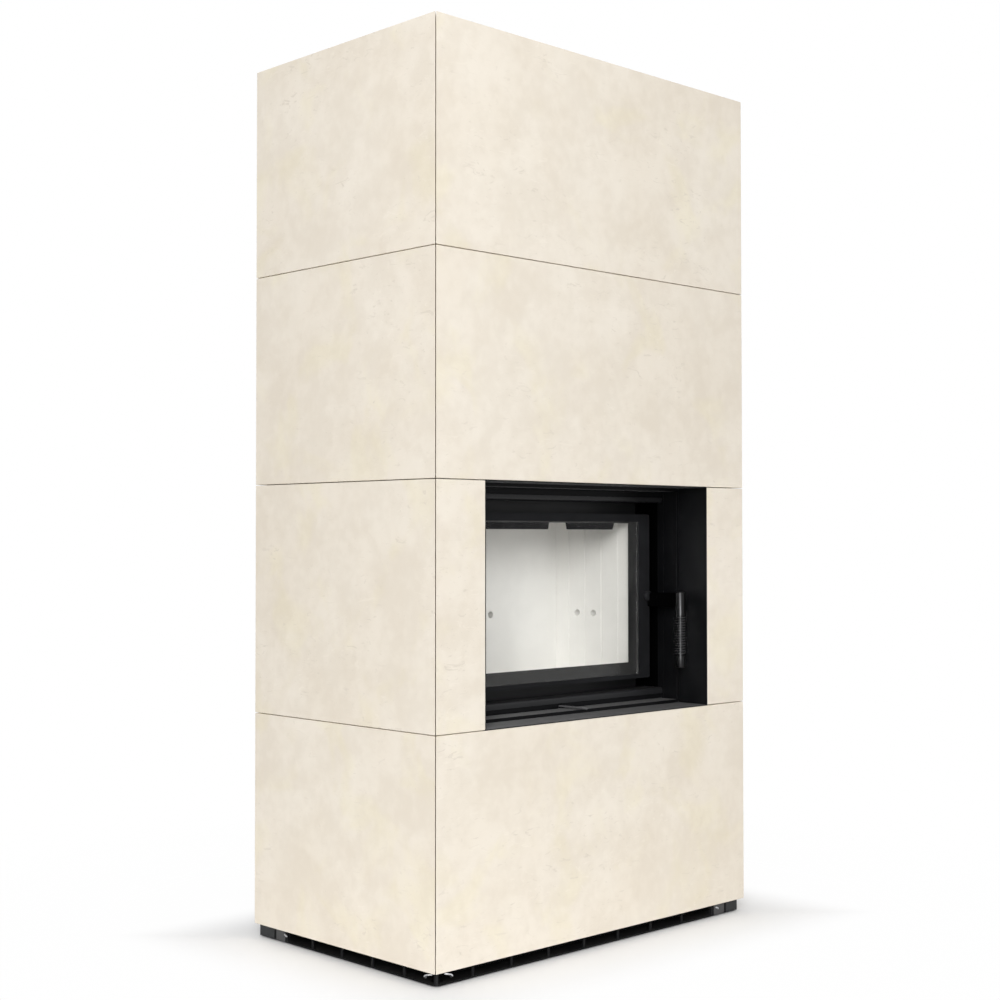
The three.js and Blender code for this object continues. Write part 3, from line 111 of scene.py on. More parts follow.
def rounded(rect, radius, steps=5):
    """A rectangle (left, right, bottom, top) with round corners: each corner's centre plus
    radius times (cos a, sin a), with a through a quarter turn."""
    left, right, bottom, top = rect
    turn = np.linspace(0, math.pi / 2, steps + 1)
    centres = [
        (right - radius, top - radius),
        (left + radius, top - radius),
        (left + radius, bottom + radius),
        (right - radius, bottom + radius),
    ]
    arcs = [
        np.stack([u + radius * np.cos(turn + q * math.pi / 2), v + radius * np.sin(turn + q * math.pi / 2)], -1)
        for q, (u, v) in enumerate(centres)
    ]
    return np.concatenate(arcs)


def grown(rect, by):
    """A rectangle with each side moved outwards."""
    left, right, bottom, top = rect
    return left - by, right + by, bottom - by, top + by


def ring(loops):
    """A closed ring seen from the front, through round rectangles (rect, radius, depth)."""
    return lofted([placed(rounded(rect, radius), depth, "Y") for rect, radius, depth in loops], True)


def band(outer, inner, span):
    """A flat ring between two rectangles and two depths."""
    front, back = span
    return ring([(outer, HAIR, back), (outer, HAIR, front), (inner, HAIR, front), (inner, HAIR, back)])


def turned(profile, base, axis="Z", sides=48):
    """A profile of (radius, height) turned round an axis: the point at angle a is
    (r cos a, r sin a, h). A profile that starts and ends off the axis goes round as a tube."""
    radius, height = np.asarray(profile, float).T
    angle = np.linspace(0, 2 * math.pi, sides, endpoint=False)
    u, v = radius[:, None] * np.cos(angle), radius[:, None] * np.sin(angle)
    w = np.broadcast_to(height[:, None], u.shape)
    points = np.stack({"Z": (u, v, w), "Y": (u, w, v), "X": (w, u, v)}[axis], -1)
    return lofted(points + np.asarray(base, float), closed=radius[0] > 0 and radius[-1] > 0)


def rod(radius, low, high):
    """The profile of a plain rod or bore, to be turned."""
    return np.array([(0, low), (radius, low), (radius, high), (0, high)])


def wire(path, radius, sides, up=(0, 0, 1)):
    """A round section carried along a path: centre plus radius times (side cos a + over sin a),
    where side and over stand square to the path."""
    path = np.asarray(path, float)
    along = np.gradient(path, axis=0)
    along /= np.linalg.norm(along, axis=1, keepdims=True)
    side = np.cross(along, up)
    side /= np.linalg.norm(side, axis=1, keepdims=True)
    over = np.cross(side, along)
    angle = np.linspace(0, 2 * math.pi, sides, endpoint=False)[None, :, None]
    section = side[:, None] * np.cos(angle) + over[:, None] * np.sin(angle)
    return lofted(path[:, None] + radius * section)


def leaning(start, bend, end, t):
    """The curve from start to end that leans to the bend:
    (1 - t)^2 start + 2 t (1 - t) bend + t^2 end."""
    return (1 - t) ** 2 * start + 2 * t * (1 - t) * bend + t**2 * end


def both_sides(line, along, half):
    """The outline of a strip: its line plus and minus half its width along the normal."""
    along = along / np.linalg.norm(along, axis=1, keepdims=True)
    normal = np.stack([-along[:, 1], along[:, 0]], -1) * half
    return np.concatenate([line + normal, (line - normal)[::-1]])


def doubled(line, by):
    """The outline of a strip: a line, and back along the same line moved sideways."""
    return np.concatenate([line, (line + (by, 0))[::-1]])


def folded(path, sheet, bend, axis, span):
    """A sheet folded along a path of points (u, v), seen along the axis that it runs along.
    Each fold is a curve that starts and ends at the bend's distance from the corner."""
    path = np.asarray(path, float)
    before, here, after = path[:-2], path[1:-1], path[2:]
    back = (before - here) / np.linalg.norm(before - here, axis=1, keepdims=True)
    ahead = (after - here) / np.linalg.norm(after - here, axis=1, keepdims=True)
    t = np.linspace(0, 1, BEND_POINTS)[None, :, None]
    start, end = here + bend * back, here + bend * ahead
    curves = leaning(start[:, None], here[:, None], end[:, None], t)
    line = np.concatenate([path[:1], curves.reshape(-1, 2), path[-1:]])
    return prism(both_sides(line, np.gradient(line, axis=0), sheet / 2), span, axis)


def rect_of(node):
    """A CAD node's box seen from the front, as (left, right, bottom, top), and its depths."""
    low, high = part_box(node)
    return (low.x, high.x, low.z, high.z), (low.y, high.y)


# ---- Pieces -----------------------------------------------------------------


def shells_into(mesh, shells):
    """Writes closed shells, each points and arrays of faces, into a mesh as whole arrays."""
    starts = np.cumsum([0] + [len(points) for points, _ in shells])
    arrays = [face + start for (_, faces), start in zip(shells, starts) for face in faces]
    corners = np.concatenate([face.ravel() for face in arrays])
    counts = np.concatenate([np.full(len(face), face.shape[1]) for face in arrays])
    points = np.concatenate([points for points, _ in shells])
    mesh.vertices.add(len(points))
    mesh.vertices.foreach_set("co", points.astype(np.float32).ravel())
    mesh.loops.add(len(corners))
    mesh.loops.foreach_set("vertex_index", corners.astype(np.int32))
    mesh.polygons.add(len(counts))
    mesh.polygons.foreach_set("loop_start", (np.cumsum(counts) - counts).astype(np.int32))
    mesh.update(calc_edges=True)
    mesh.validate()


def linked(name, data):
    """A new object in the scene, at the origin."""
    thing = bpy.data.objects.new(name, data)
    bpy.context.scene.collection.objects.link(thing)
    return thing


def tidied(mesh, flatten=False):
    """Merges doubles, takes out the lines across flat faces if asked, turns all faces
    outwards and smooths the shallow edges."""
    work = bmesh.new()
    work.from_mesh(mesh)
    bmesh.ops.remove_doubles(work, verts=work.verts, dist=MERGE_UNDER)
    if flatten:
        bmesh.ops.dissolve_limit(work, angle_limit=FLAT_UNDER, verts=work.verts, edges=work.edges)
    bmesh.ops.recalc_face_normals(work, faces=work.faces)
    work.to_mesh(mesh)
    work.free()
    mesh.polygons.foreach_set("use_smooth", np.ones(len(mesh.polygons), bool))
    mesh.set_sharp_from_angle(angle=SMOOTH_UNDER)


def soften(piece, arris):
    """Rounds the sharp edges of a piece to a radius."""
    bevel = piece.modifiers.new("arris", "BEVEL")
    bevel.width, bevel.segments = arris, ARRIS_STEPS
    bevel.limit_method, bevel.angle_limit = "ANGLE", ROUND_OVER
    bevel.harden_normals = True
    bevel.use_clamp_overlap = True


def make(name, shells, finish, body, nodes=(), arris=0.0, cutters=()):
    """A named piece from closed shells: cut, tidied, softened, finished and put on its body."""
    mesh = bpy.data.meshes.new(name)
    shells_into(mesh, shells)
    tidied(mesh)
    piece = linked(name, mesh)
    if cutters:
        carve(piece, cutters)
    if arris:
        soften(piece, arris)
    return settle(piece, finish, body, nodes)


def settle(piece, finish, body, nodes):
    """Gives a piece its finish, its body and the CAD nodes that it stands for."""
    slot, finished = FINISHES[finish]
    piece.data.materials.clear()
    piece.data.materials.append(finished())
    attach(piece, body)
    if nodes:
        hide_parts(*nodes)
    return piece


def carve(piece, cutters):
    """Takes closed shells out of a piece and keeps the result as its mesh."""
    mesh = bpy.data.meshes.new("cutters")
    shells_into(mesh, cutters)
    tidied(mesh)
    tool = linked("cutters", mesh)
    cut = piece.modifiers.new("cut", "BOOLEAN")
    cut.operation, cut.solver, cut.object = "DIFFERENCE", "EXACT", tool
    graph = bpy.context.evaluated_depsgraph_get()
    whole = piece.data
    piece.data = bpy.data.meshes.new_from_object(piece.evaluated_get(graph))
    piece.modifiers.clear()
    bpy.data.objects.remove(tool)
    bpy.data.meshes.remove(mesh)
    bpy.data.meshes.remove(whole)
    piece.data.name = piece.name
    tidied(piece.data, flatten=True)


def softened(node, finish, arris, body="root"):
    """A merged copy of a CAD node with its edges rounded, in the node's place."""
    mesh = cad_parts[node].data.copy()
    tidied(mesh, flatten=True)
    piece = linked(node + "_soft", mesh)
    soften(piece, arris)
    return settle(piece, finish, body, (node,))


# ---- Shader nodes -----------------------------------------------------------


class Nodes:
    """A node tree with short ways to add, feed and join its nodes."""

    def __init__(self, tree):
        self.tree = tree

    def feed(self, socket, value):
        if isinstance(value, bpy.types.NodeSocket):
            self.tree.links.new(value, socket)
        else:
            socket.default_value = value

    def add(self, kind, inputs=None, **settings):
        node = self.tree.nodes.new("ShaderNode" + kind)
        for name, value in settings.items():
            setattr(node, name, value)
        for name, value in (inputs or {}).items():
            self.feed(node.inputs[name], value)
        return node

    def math(self, operation, a, b, clamp=False):
        return self.add("Math", {0: a, 1: b}, operation=operation, use_clamp=clamp).outputs[0]

    def plus(self, a, b):
        return self.math("ADD", a, b)

    def minus(self, a, b):
        return self.math("SUBTRACT", a, b)

    def times(self, a, b):
        return self.math("MULTIPLY", a, b)

    def larger(self, a, b):
        return self.math("MAXIMUM", a, b)

    def vector(self, operation, a, b):
        return self.add("VectorMath", {0: a, 1: b}, operation=operation).outputs[0]

    def span(self, value, low, high, to_low=0.0, to_high=1.0):
        inputs = {0: value, 1: low, 2: high, 3: to_low, 4: to_high}
        return self.add("MapRange", inputs, interpolation_type="SMOOTHSTEP").outputs[0]

    def mix(self, factor, a, b, blend="MIX"):
        inputs = {0: factor, 6: a, 7: b}
        return self.add("Mix", inputs, data_type="RGBA", blend_type=blend).outputs[2]

    def noise(self, vector, scale, detail, distortion=0.0, roughness=0.5):
        inputs = {"Vector": vector, "Scale": scale, "Detail": detail}
        inputs |= {"Distortion": distortion, "Roughness": roughness}
        return self.add("TexNoise", inputs).outputs[0]

    def cells(self, vector, scale):
        return self.add("TexVoronoi", {"Vector": vector, "Scale": scale})

    def part(self, vector, index):
        return self.add("SeparateXYZ", {0: vector}).outputs[index]

    def place(self):
        return self.add("TexCoord").outputs["Object"]

    def stretched(self, vector, scale):
        return self.add("Mapping", {"Vector": vector, "Scale": scale}).outputs[0]

    def group(self, made, inputs):
        node = self.add("Group")
        node.node_tree = made
        for name, value in inputs.items():
            self.feed(node.inputs[name], value)
        return node.outputs

    def clouded(self, place, scale, first, second):
        """Two colours in clouds, and the mask between them."""
        return self.group(clouds(), {"Vector": place, "Scale": scale, "Color A": first, "Color B": second})

    def mirrored_or_seen(self):
        """1 for what the camera, a gloss or a glass shows, and 0 for what lights a surface."""
        path = self.add("LightPath").outputs
        seen = self.larger(path["Is Camera Ray"], path["Is Glossy Ray"])
        return self.larger(seen, path["Is Transmission Ray"])

    def surface(self, height=None, relief=0.0, **values):
        """The Principled shader and the output; relief is the height of the bumps in metres."""
        names = {name: name.replace("_", " ").title().replace("Ior", "IOR") for name in values}
        shader = self.add("BsdfPrincipled", {names[name]: value for name, value in values.items()})
        if height is not None:
            bump = self.add("Bump", {"Height": height, "Distance": relief, "Strength": 1.0})
            self.feed(shader.inputs["Normal"], bump.outputs[0])
        output = self.add("OutputMaterial")
        self.feed(output.inputs[0], shader.outputs[0])
        return shader, output


def node_group(name, inputs, outputs, build):
    """A shader node group made once; inputs and outputs are {name: (kind, default)}."""
    made = bpy.data.node_groups.get(name)
    if made is not None:
        return made
    made = bpy.data.node_groups.new(name, "ShaderNodeTree")
    for in_out, sockets in (("INPUT", inputs), ("OUTPUT", outputs)):
        for label, (kind, default) in sockets.items():
            socket = made.interface.new_socket(label, in_out=in_out, socket_type="NodeSocket" + kind)
            if default is not None:
                socket.default_value = default
    nodes = Nodes(made)
    given = made.nodes.new("NodeGroupInput").outputs
    results = made.nodes.new("NodeGroupOutput").inputs
    for label, value in build(nodes, given).items():
        nodes.feed(results[label], value)
    return made


VECTOR = ("Vector", None)
GREY = ("Color", (0.5, 0.5, 0.5, 1.0))


def clouds():
    """Two colours in soft clouds, with finer flecks inside them."""
    def build(nodes, given):
        scale = given["Scale"]
        large = nodes.noise(given["Vector"], scale, 4.0, 0.4)
        fine = nodes.noise(given["Vector"], nodes.times(scale, 4.3), 3.0, 0.2)
        both = nodes.plus(nodes.times(large, 0.62), nodes.times(fine, 0.38))
        mask = nodes.span(both, 0.36, 0.64)
        return {"Color": nodes.mix(mask, given["Color A"], given["Color B"]), "Mask": mask}

    inputs = {"Vector": VECTOR, "Scale": ("Float", 5.0), "Color A": GREY, "Color B": GREY}
    return node_group("Clouds", inputs, {"Color": ("Color", None), "Mask": ("Float", None)}, build)


def grain():
    """The height of a fine orange peel with specks on it, from 0 to 1."""
    def build(nodes, given):
        peel = nodes.noise(given["Vector"], given["Scale"], 2.0)
        specks = nodes.noise(given["Vector"], nodes.times(given["Scale"], 3.1), 2.0)
        share = given["Specks"]
        height = nodes.plus(peel, nodes.times(nodes.minus(specks, 0.5), share))
        return {"Height": height}

    inputs = {"Vector": VECTOR, "Scale": ("Float", 900.0), "Specks": ("Float", 0.5)}
    return node_group("Grain", inputs, {"Height": ("Float", None)}, build)


def dust():
    """A colour with pale dust on what faces up, thicker in patches."""
    def build(nodes, given):
        up = nodes.part(nodes.add("NewGeometry").outputs["Normal"], 2)
        patches = nodes.span(nodes.noise(given["Vector"], 14.0, 4.0, 0.3), 0.3, 0.7, 0.35, 1.0)
        mask = nodes.times(nodes.span(up, 0.55, 1.0), patches)
        mask = nodes.times(mask, given["Amount"])
        return {"Color": nodes.mix(mask, given["Color"], given["Dust Color"]), "Mask": mask}

    inputs = {"Vector": VECTOR, "Color": GREY, "Dust Color": ("Color", (0.36, 0.34, 0.31, 1.0))}
    inputs["Amount"] = ("Float", 0.2)
    return node_group("Dust", inputs, {"Color": ("Color", None), "Mask": ("Float", None)}, build)


def streaks():
    """The height of fine brush marks, long one way and short the others, from 0 to 1."""
    def build(nodes, given):
        coarse = nodes.noise(given["Vector"], 1.0, 3.0)
        fine = nodes.noise(given["Vector"], 3.7, 2.0)
        return {"Height": nodes.plus(nodes.times(coarse, 0.6), nodes.times(fine, 0.4))}

    return node_group("Streaks", {"Vector": VECTOR}, {"Height": ("Float", None)}, build)


# ---- Finishes ---------------------------------------------------------------


def colours():
    """The colours and finishes that the user may change."""
    return bpy.context.scene.stove_finish


def shaded(colour, by):
    """A colour made lighter or darker, as four numbers."""
    return tuple(part * by for part in colour[:3]) + (1.0,)


def material(name, build):
    """A material that is made once."""
    made = bpy.data.materials.get(name)
    if made is None:
        made = bpy.data.materials.new(name)
        made.use_nodes = True
        made.node_tree.nodes.clear()
        build(Nodes(made.node_tree))
    return made


def cast_stone():
    """Trowelled cast stone: clouds of two sizes, a warmer tint in patches, short trowel
    strokes, a few pores and a flat gloss."""
    def build(nodes):
        shift = nodes.add("Attribute", attribute_name="cast").outputs["Vector"]
        place = nodes.vector("ADD", nodes.place(), shift)
        warm, pale = colours().tile_colour, colours().tile_cloud
        wide = nodes.clouded(place, 2.4, pale, shaded(warm, 1.03))
        dark = shaded(warm, 0.95)
        middle = nodes.clouded(place, 8.0, dark, pale)
        colour = nodes.mix(0.5, wide["Color"], middle["Color"])
        tint = nodes.span(nodes.noise(place, 6.0, 3.0, 0.5), 0.5, 0.68)
        colour = nodes.mix(tint, colour, (1.0, 1.0, 0.945, 1.0), "MULTIPLY")
        drawn = nodes.noise(nodes.stretched(place, (1, 1, 2.8)), 24.0, 4.0, 1.4, 0.6)
        worked = nodes.span(nodes.noise(place, 4.0, 2.0), 0.42, 0.6)
        stroke = nodes.times(nodes.span(drawn, 0.6, 0.7), worked)
        rubbed = nodes.times(nodes.span(drawn, 0.4, 0.31), worked)
        colour = nodes.mix(nodes.times(stroke, 0.55), colour, shaded(warm, 0.86))
        colour = nodes.mix(nodes.times(rubbed, 0.4), colour, shaded(pale, 1.04))
        pores = nodes.cells(place, 130.0)
        open_ = nodes.span(nodes.part(pores.outputs["Color"], 1), 0.95, 0.97)
        pore = nodes.times(nodes.span(pores.outputs["Distance"], 0.08, 0.2, 1.0, 0.0), open_)
        colour = nodes.mix(nodes.times(pore, 0.3), colour, shaded(warm, 0.6))
        swirl = nodes.noise(place, 26.0, 5.0, 1.2, 0.55)
        sunk = nodes.plus(nodes.times(stroke, 0.25), nodes.times(pore, 0.3))
        height = nodes.minus(nodes.times(swirl, 0.5), sunk)
        rough = nodes.span(middle["Mask"], 0.0, 1.0, 0.7, 0.84)
        nodes.surface(height, 0.6 * MM, base_color=colour, roughness=rough, specular_ior_level=0.35)

    return material("cast_stone", build)


def coated_steel(name, colour, rough, dusty, shine, sheen, scale):
    """Powder-coated sheet: a fine orange peel, a little dust on top and faint wipe marks;
    sheen is the pale bloom of the powder at a flat angle."""
    def build(nodes):
        place = nodes.place()
        wiped = nodes.clouded(place, 4.0, shaded(colour, 0.86), shaded(colour, 1.16))
        dusted = nodes.group(dust(), {"Vector": place, "Color": wiped["Color"], "Amount": dusty})
        peel = nodes.group(grain(), {"Vector": place, "Scale": scale, "Specks": 0.4})
        gloss = nodes.span(wiped["Mask"], 0.0, 1.0, rough - 0.05, rough + 0.05)
        gloss = nodes.math("ADD", gloss, nodes.times(dusted["Mask"], 0.5), clamp=True)
        nodes.surface(
            peel["Height"],
            0.02 * MM,
            base_color=dusted["Color"],
            roughness=gloss,
            specular_ior_level=shine,
            sheen_weight=sheen,
            sheen_roughness=0.3,
        )

    return material(name, build)


def bare_metal(name, colour, rough, grain_scale, spread, relief=0.02 * MM, spangle=0.0):
    """Metal with brush marks along one axis; zinc has broad crystals as well."""
    def build(nodes):
        place = nodes.place()
        marks = nodes.group(streaks(), {"Vector": nodes.stretched(place, grain_scale)})["Height"]
        crystals = nodes.part(nodes.cells(place, 55.0).outputs["Color"], 0)
        tone = nodes.plus(nodes.times(marks, 1.0 - spangle), nodes.times(crystals, spangle))
        shade = nodes.mix(nodes.span(tone, 0.2, 0.8), shaded(colour, 0.8), shaded(colour, 1.18))
        gloss = nodes.span(tone, 0.2, 0.8, rough + spread, rough - spread)
        nodes.surface(marks, relief, base_color=shade, roughness=gloss, metallic=1.0)

    return material(name, build)


def fired_board(name, colour, scale, relief, fleck):
    """A pressed board: pale clouds, dark and bright flecks, and a soft open grain."""
    def build(nodes):
        place = nodes.place()
        base = nodes.clouded(place, scale, shaded(colour, 0.965), colour)
        cells = nodes.cells(place, 330.0)
        chosen = nodes.span(nodes.part(cells.outputs["Color"], 0), 0.7, 0.8)
        flecks = nodes.times(nodes.span(cells.outputs["Distance"], 0.12, 0.4, 1.0, 0.0), chosen)
        tinted = nodes.mix(nodes.times(flecks, fleck), base["Color"], shaded(colour, 0.55))
        rough = nodes.span(base["Mask"], 0.0, 1.0, 0.82, 0.95)
        pressed = nodes.group(grain(), {"Vector": place, "Scale": 240.0, "Specks": 0.7})
        nodes.surface(pressed["Height"], relief, base_color=tinted, roughness=rough, specular_ior_level=0.25)

    return material(name, build)


def cast_iron():
    """Cast iron: a coarse sand-cast skin, near black, a little brown."""
    def build(nodes):
        place = nodes.place()
        skin = nodes.group(grain(), {"Vector": place, "Scale": 420.0, "Specks": 0.9})
        tone = nodes.clouded(place, 20.0, (0.035, 0.034, 0.034, 1), (0.062, 0.056, 0.052, 1))
        rough = nodes.span(skin["Height"], 0.3, 0.7, 0.72, 0.56)
        nodes.surface(skin["Height"], 0.12 * MM, base_color=tone["Color"], roughness=rough, metallic=0.6)

    return material("iron_casting", build)


def rope():
    """Braided glass rope: two slanting sets of strands, grey."""
    def build(nodes):
        place = nodes.place()
        waves = {"Scale": 1.0, "Distortion": 1.5}
        ways = [
            nodes.add("TexWave", waves | {"Vector": nodes.stretched(place, scale)}, bands_direction="DIAGONAL")
            for scale in ((90, 90, 90), (-90, 90, -90))
        ]
        strand = nodes.larger(*(way.outputs[1] for way in ways))
        shade = nodes.mix(strand, (0.02, 0.02, 0.02, 1), (0.09, 0.088, 0.082, 1))
        rough = nodes.span(strand, 0.0, 1.0, 0.98, 0.85)
        nodes.surface(strand, 0.6 * MM, base_color=shade, roughness=rough)

    return material("glass_rope", build)


def pane():
    """Clear fire glass, faintly warm, with a trace of soot film. Light goes straight through
    it, and the camera sees nearly all through it, so it mirrors little of the white round it."""
    def build(nodes):
        place = nodes.place()
        film = nodes.clouded(place, 6.0, (0.98, 0.975, 0.965, 1), (1, 1, 0.995, 1))
        shader, output = nodes.surface(
            base_color=film["Color"], roughness=0.0, transmission_weight=1.0, specular_ior_level=0.08
        )
        path = nodes.add("LightPath").outputs
        through = nodes.larger(path["Is Shadow Ray"], path["Is Diffuse Ray"])
        through = nodes.larger(through, nodes.times(path["Is Camera Ray"], 0.95))
        clear = nodes.add("BsdfTransparent", {"Color": (0.96, 0.96, 0.95, 1)})
        both = nodes.add("MixShader", {0: through, 1: shader.outputs[0], 2: clear.outputs[0]})
        nodes.feed(output.inputs[0], both.outputs[0])

    return material("fire_glass", build)


def printed_border():
    """The border printed on the pane: dense black enamel with fine pinholes."""
    def build(nodes):
        place = nodes.place()
        tone = nodes.clouded(place, 30.0, shaded(colours().enamel_colour, 0.8), colours().enamel_colour)
        rough = nodes.span(tone["Mask"], 0.0, 1.0, 0.3, 0.42)
        nodes.surface(base_color=tone["Color"], roughness=rough)

    return material("printed_border", build)


def steel(name, colour, rough, dusty, shine, sheen=0.0, scale=700.0):
    """A step that makes a coated steel; the colour is four numbers or the name of a setting."""
    def finished():
        tone = getattr(colours(), colour) if isinstance(colour, str) else (*colour, 1)
        return coated_steel(name, tone, rough, dusty, shine, sheen, scale)

    return finished


def nickel(name, by):
    """A step that makes the handle's metal in a lighter or darker tone; the coil's lighter tone is a painted
    highlight.
    """
    return lambda: bare_metal(name, shaded(colours().handle_colour, by), 0.34, (500, 500, 40), 0.04)


# Each finish: the slot that it goes to, and the step that makes its material.
FINISHES = {
    "stone": ("tile", cast_stone),
    "black": ("black_steel", steel("black_coat", "steel_colour", 0.4, 0.06, 0.09, 0.2)),
    "front": ("black_steel", steel("front_coat", "steel_colour", 0.4, 0.06, 0.17, 0.2)),
    # Near-black and without gloss: a painted shade, darker than the black steel, for the dark gap beside the front
    # plate and for the handle's bracket.
    "matt": ("black_steel", steel("matt_black", (0.0012, 0.0012, 0.0013), 0.7, 0.0, 0.0)),
    "plinth": ("black_steel", steel("plinth_coat", "steel_colour", 0.5, 0.04, 0.1)),
    "plate": ("black_steel", steel("plinth_plate_coat", (0.021, 0.022, 0.023), 0.45, 0.06, 0.25)),
    "bracket": ("black_steel", steel("plinth_bracket_coat", (0.042, 0.042, 0.043), 0.4, 0.06, 0.5)),
    "door": ("door_steel", steel("door_coat", "door_colour", 0.36, 0.03, 0.03)),
    "rail": ("door_steel", steel("rail_coat", "door_colour", 0.36, 0.03, 0.22)),
    "foot": ("zinc_steel", steel("foot_coat", (0.004, 0.004, 0.004), 0.6, 0.0, 0.1)),
    "panel": ("panel_steel", steel("panel_coat", (0.030, 0.031, 0.033), 0.5, 0.2, 0.5)),
    "frame": ("frame_steel", steel("frame_primer", (0.19, 0.195, 0.2), 0.5, 0.2, 0.5, scale=500.0)),
    "steel_rod": ("gunmetal", steel("rod_coat", (0.11, 0.11, 0.112), 0.35, 0.02, 0.5)),
    "zinc": (
        "zinc_steel",
        lambda: bare_metal("zinc", (0.62, 0.63, 0.65, 1), 0.34, (60, 60, 60), 0.08, 0.01 * MM, 0.6),
    ),
    "gunmetal": ("gunmetal", nickel("dark_nickel", 1.0)),
    # The coil is the handle's nickel made 2.6 times lighter: a painted highlight for the glints on its turns.
    "coil": ("gunmetal", nickel("coil_nickel", 2.6)),
    "iron": ("cast_iron", cast_iron),
    "lining": (
        "firebox_lining",
        lambda: fired_board("fired_board", colours().lining_colour, 9.0, 0.12 * MM, 0.2),
    ),
    "insulation": (
        "insulation_board",
        lambda: fired_board("fibre_board", (0.66, 0.63, 0.56, 1), 5.0, 0.3 * MM, 0.2),
    ),
    "glass": ("glass_pane", pane),
    "border": ("glass_pane", printed_border),
    "rope": ("rope", rope),
}


# ---- What the user may change -----------------------------------------------


def length(name, description, default):
    """A length in metres, written here in millimetres."""
    return bpy.props.FloatProperty(
        name=name, description=description, default=default * MM, min=0.0, subtype="DISTANCE", unit="LENGTH"
    )


def colour(name, description, default):
    """A plain colour."""
    return bpy.props.FloatVectorProperty(
        name=name, description=description, default=(*default, 1.0), size=4, min=0.0, max=1.0, subtype="COLOR"
    )


class StoveFinish(bpy.types.PropertyGroup):
    """Colours of the stove."""

    tile_colour: colour("Tile", "Main tone of the cast stone", (0.79, 0.714, 0.603))
    tile_cloud: colour("Tile cloud", "Paler tone in the cast stone", (0.865, 0.80, 0.70))
    steel_colour: colour("Black steel", "Coating of plinth and niche", (0.0045, 0.0047, 0.0054))
    door_colour: colour("Door steel", "Coating of the door and the niche rails", (0.016, 0.0163, 0.0178))
    enamel_colour: colour("Enamel", "Border printed on the pane", (0.0155, 0.0155, 0.0163))
    handle_colour: colour("Handle", "Dark nickel of the handle", (0.02, 0.02, 0.0205))
    lining_colour: colour("Lining", "Pressed boards of the firebox", (0.93, 0.92, 0.90))


class StoveSizes(bpy.types.PropertyGroup):
    """Sizes of what the CAD model leaves plain."""

    tile_arris: length("Tile arris", "Radius of the edges of a tile", 1.2)
    sheet_arris: length("Sheet arris", "Radius of the edges of sheet metal", 0.5)
    rail_bend: length("Rail bend", "Bend of the rails over and under the door", 4.5)
    door_radius: length("Door corner", "Radius of the door's corners", 5.0)
    border_side: length("Border at the sides", "Printed border of the pane", 36.0)
    border_bottom: length("Border at the bottom", "Printed border of the pane", 32.0)
    border_top: length("Border at the top", "Printed border of the pane", 3.0)
    coil_wire: length("Coil wire", "Radius of the wire on the handle", 1.9)
    coil_turns: bpy.props.IntProperty(name="Coil turns", description="Turns of the wire", default=15, min=3)
    screw_radius: length("Screw head", "Radius of the screws in panel and top plate", 4.5)
    hook_radius: length("Hook", "Reach of the small hooks in the plinth", 20.0)


class StoveStage(bpy.types.PropertyGroup):
    """Studio round the stove."""

    lamp_level: bpy.props.FloatProperty(
        name="Lamps", description="Strength of the lamps, where 1 shows a colour as written", default=1.0, min=0.0
    )
    sky_level: bpy.props.FloatProperty(
        name="Surroundings", description="Strength of the even light from all round", default=0.42, min=0.0
    )
    lens: bpy.props.FloatProperty(
        name="Lens", description="Focal length of the camera", default=58.645, min=1.0, subtype="DISTANCE_CAMERA"
    )
    camera_place: bpy.props.FloatVectorProperty(
        name="Camera",
        description="Place of the camera",
        default=(-2.9432, -3.0178, 0.9933),
        subtype="XYZ",
        unit="LENGTH",
    )
    camera_turn: bpy.props.FloatVectorProperty(
        name="Camera turn",
        description="Turn of the camera",
        default=tuple(math.radians(angle) for angle in (91.3045, 0.031, -44.028)),
        subtype="EULER",
        unit="ROTATION",
    )


def sizes():
    """The sizes that the user may change."""
    return bpy.context.scene.stove_sizes


# ---- Casing -----------------------------------------------------------------

DRAWS = np.random.default_rng(7036)
CAST_REACH = 20.0  # how far apart the tiles lie in the cast pattern


def tile(node, outline):
    """A tile from its outline seen from above, with a place of its own in the cast pattern."""
    low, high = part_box(node)
    body = prism(outline, (low.z, high.z), "Z")
    mesh = make(node + "_cast", [body], "stone", "root", (node,), sizes().tile_arris).data
    place = np.tile(DRAWS.uniform(-CAST_REACH, CAST_REACH, 3), len(mesh.vertices))
    shift = mesh.attributes.new("cast", "FLOAT_VECTOR", "POINT")
    shift.data.foreach_set("vector", place.astype(np.float32))


def front_outline(node, mitred_left, mitred_right):
    """A front tile from above; a mitred end goes back as far as the tile is thick."""
    low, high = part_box(node)
    thick = high.y - low.y
    back = (low.x + thick * mitred_left, high.x - thick * mitred_right)
    return [(low.x, low.y), (high.x, low.y), (back[1], high.y), (back[0], high.y)]


def side_outline(node, side):
    """A side tile from above, mitred at the front; side is -1 on the left."""
    low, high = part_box(node)
    outer, inner = (low.x, high.x) if side < 0 else (high.x, low.x)
    return [(outer, low.y), (inner, low.y + high.x - low.x), (inner, high.y), (outer, high.y)]


def make_tiles():
    """Four rows of tiles; in the door's row two piers stand in for the front tile."""
    for row in ("bottom", "door", "upper", "top"):
        tile("tile_left_" + row, side_outline("tile_left_" + row, -1))
        tile("tile_right_" + row, side_outline("tile_right_" + row, 1))
        if row != "door":
            tile("tile_front_" + row, front_outline("tile_front_" + row, True, True))
    tile("tile_pier_left", front_outline("tile_pier_left", True, False))
    tile("tile_pier_right", front_outline("tile_pier_right", False, True))
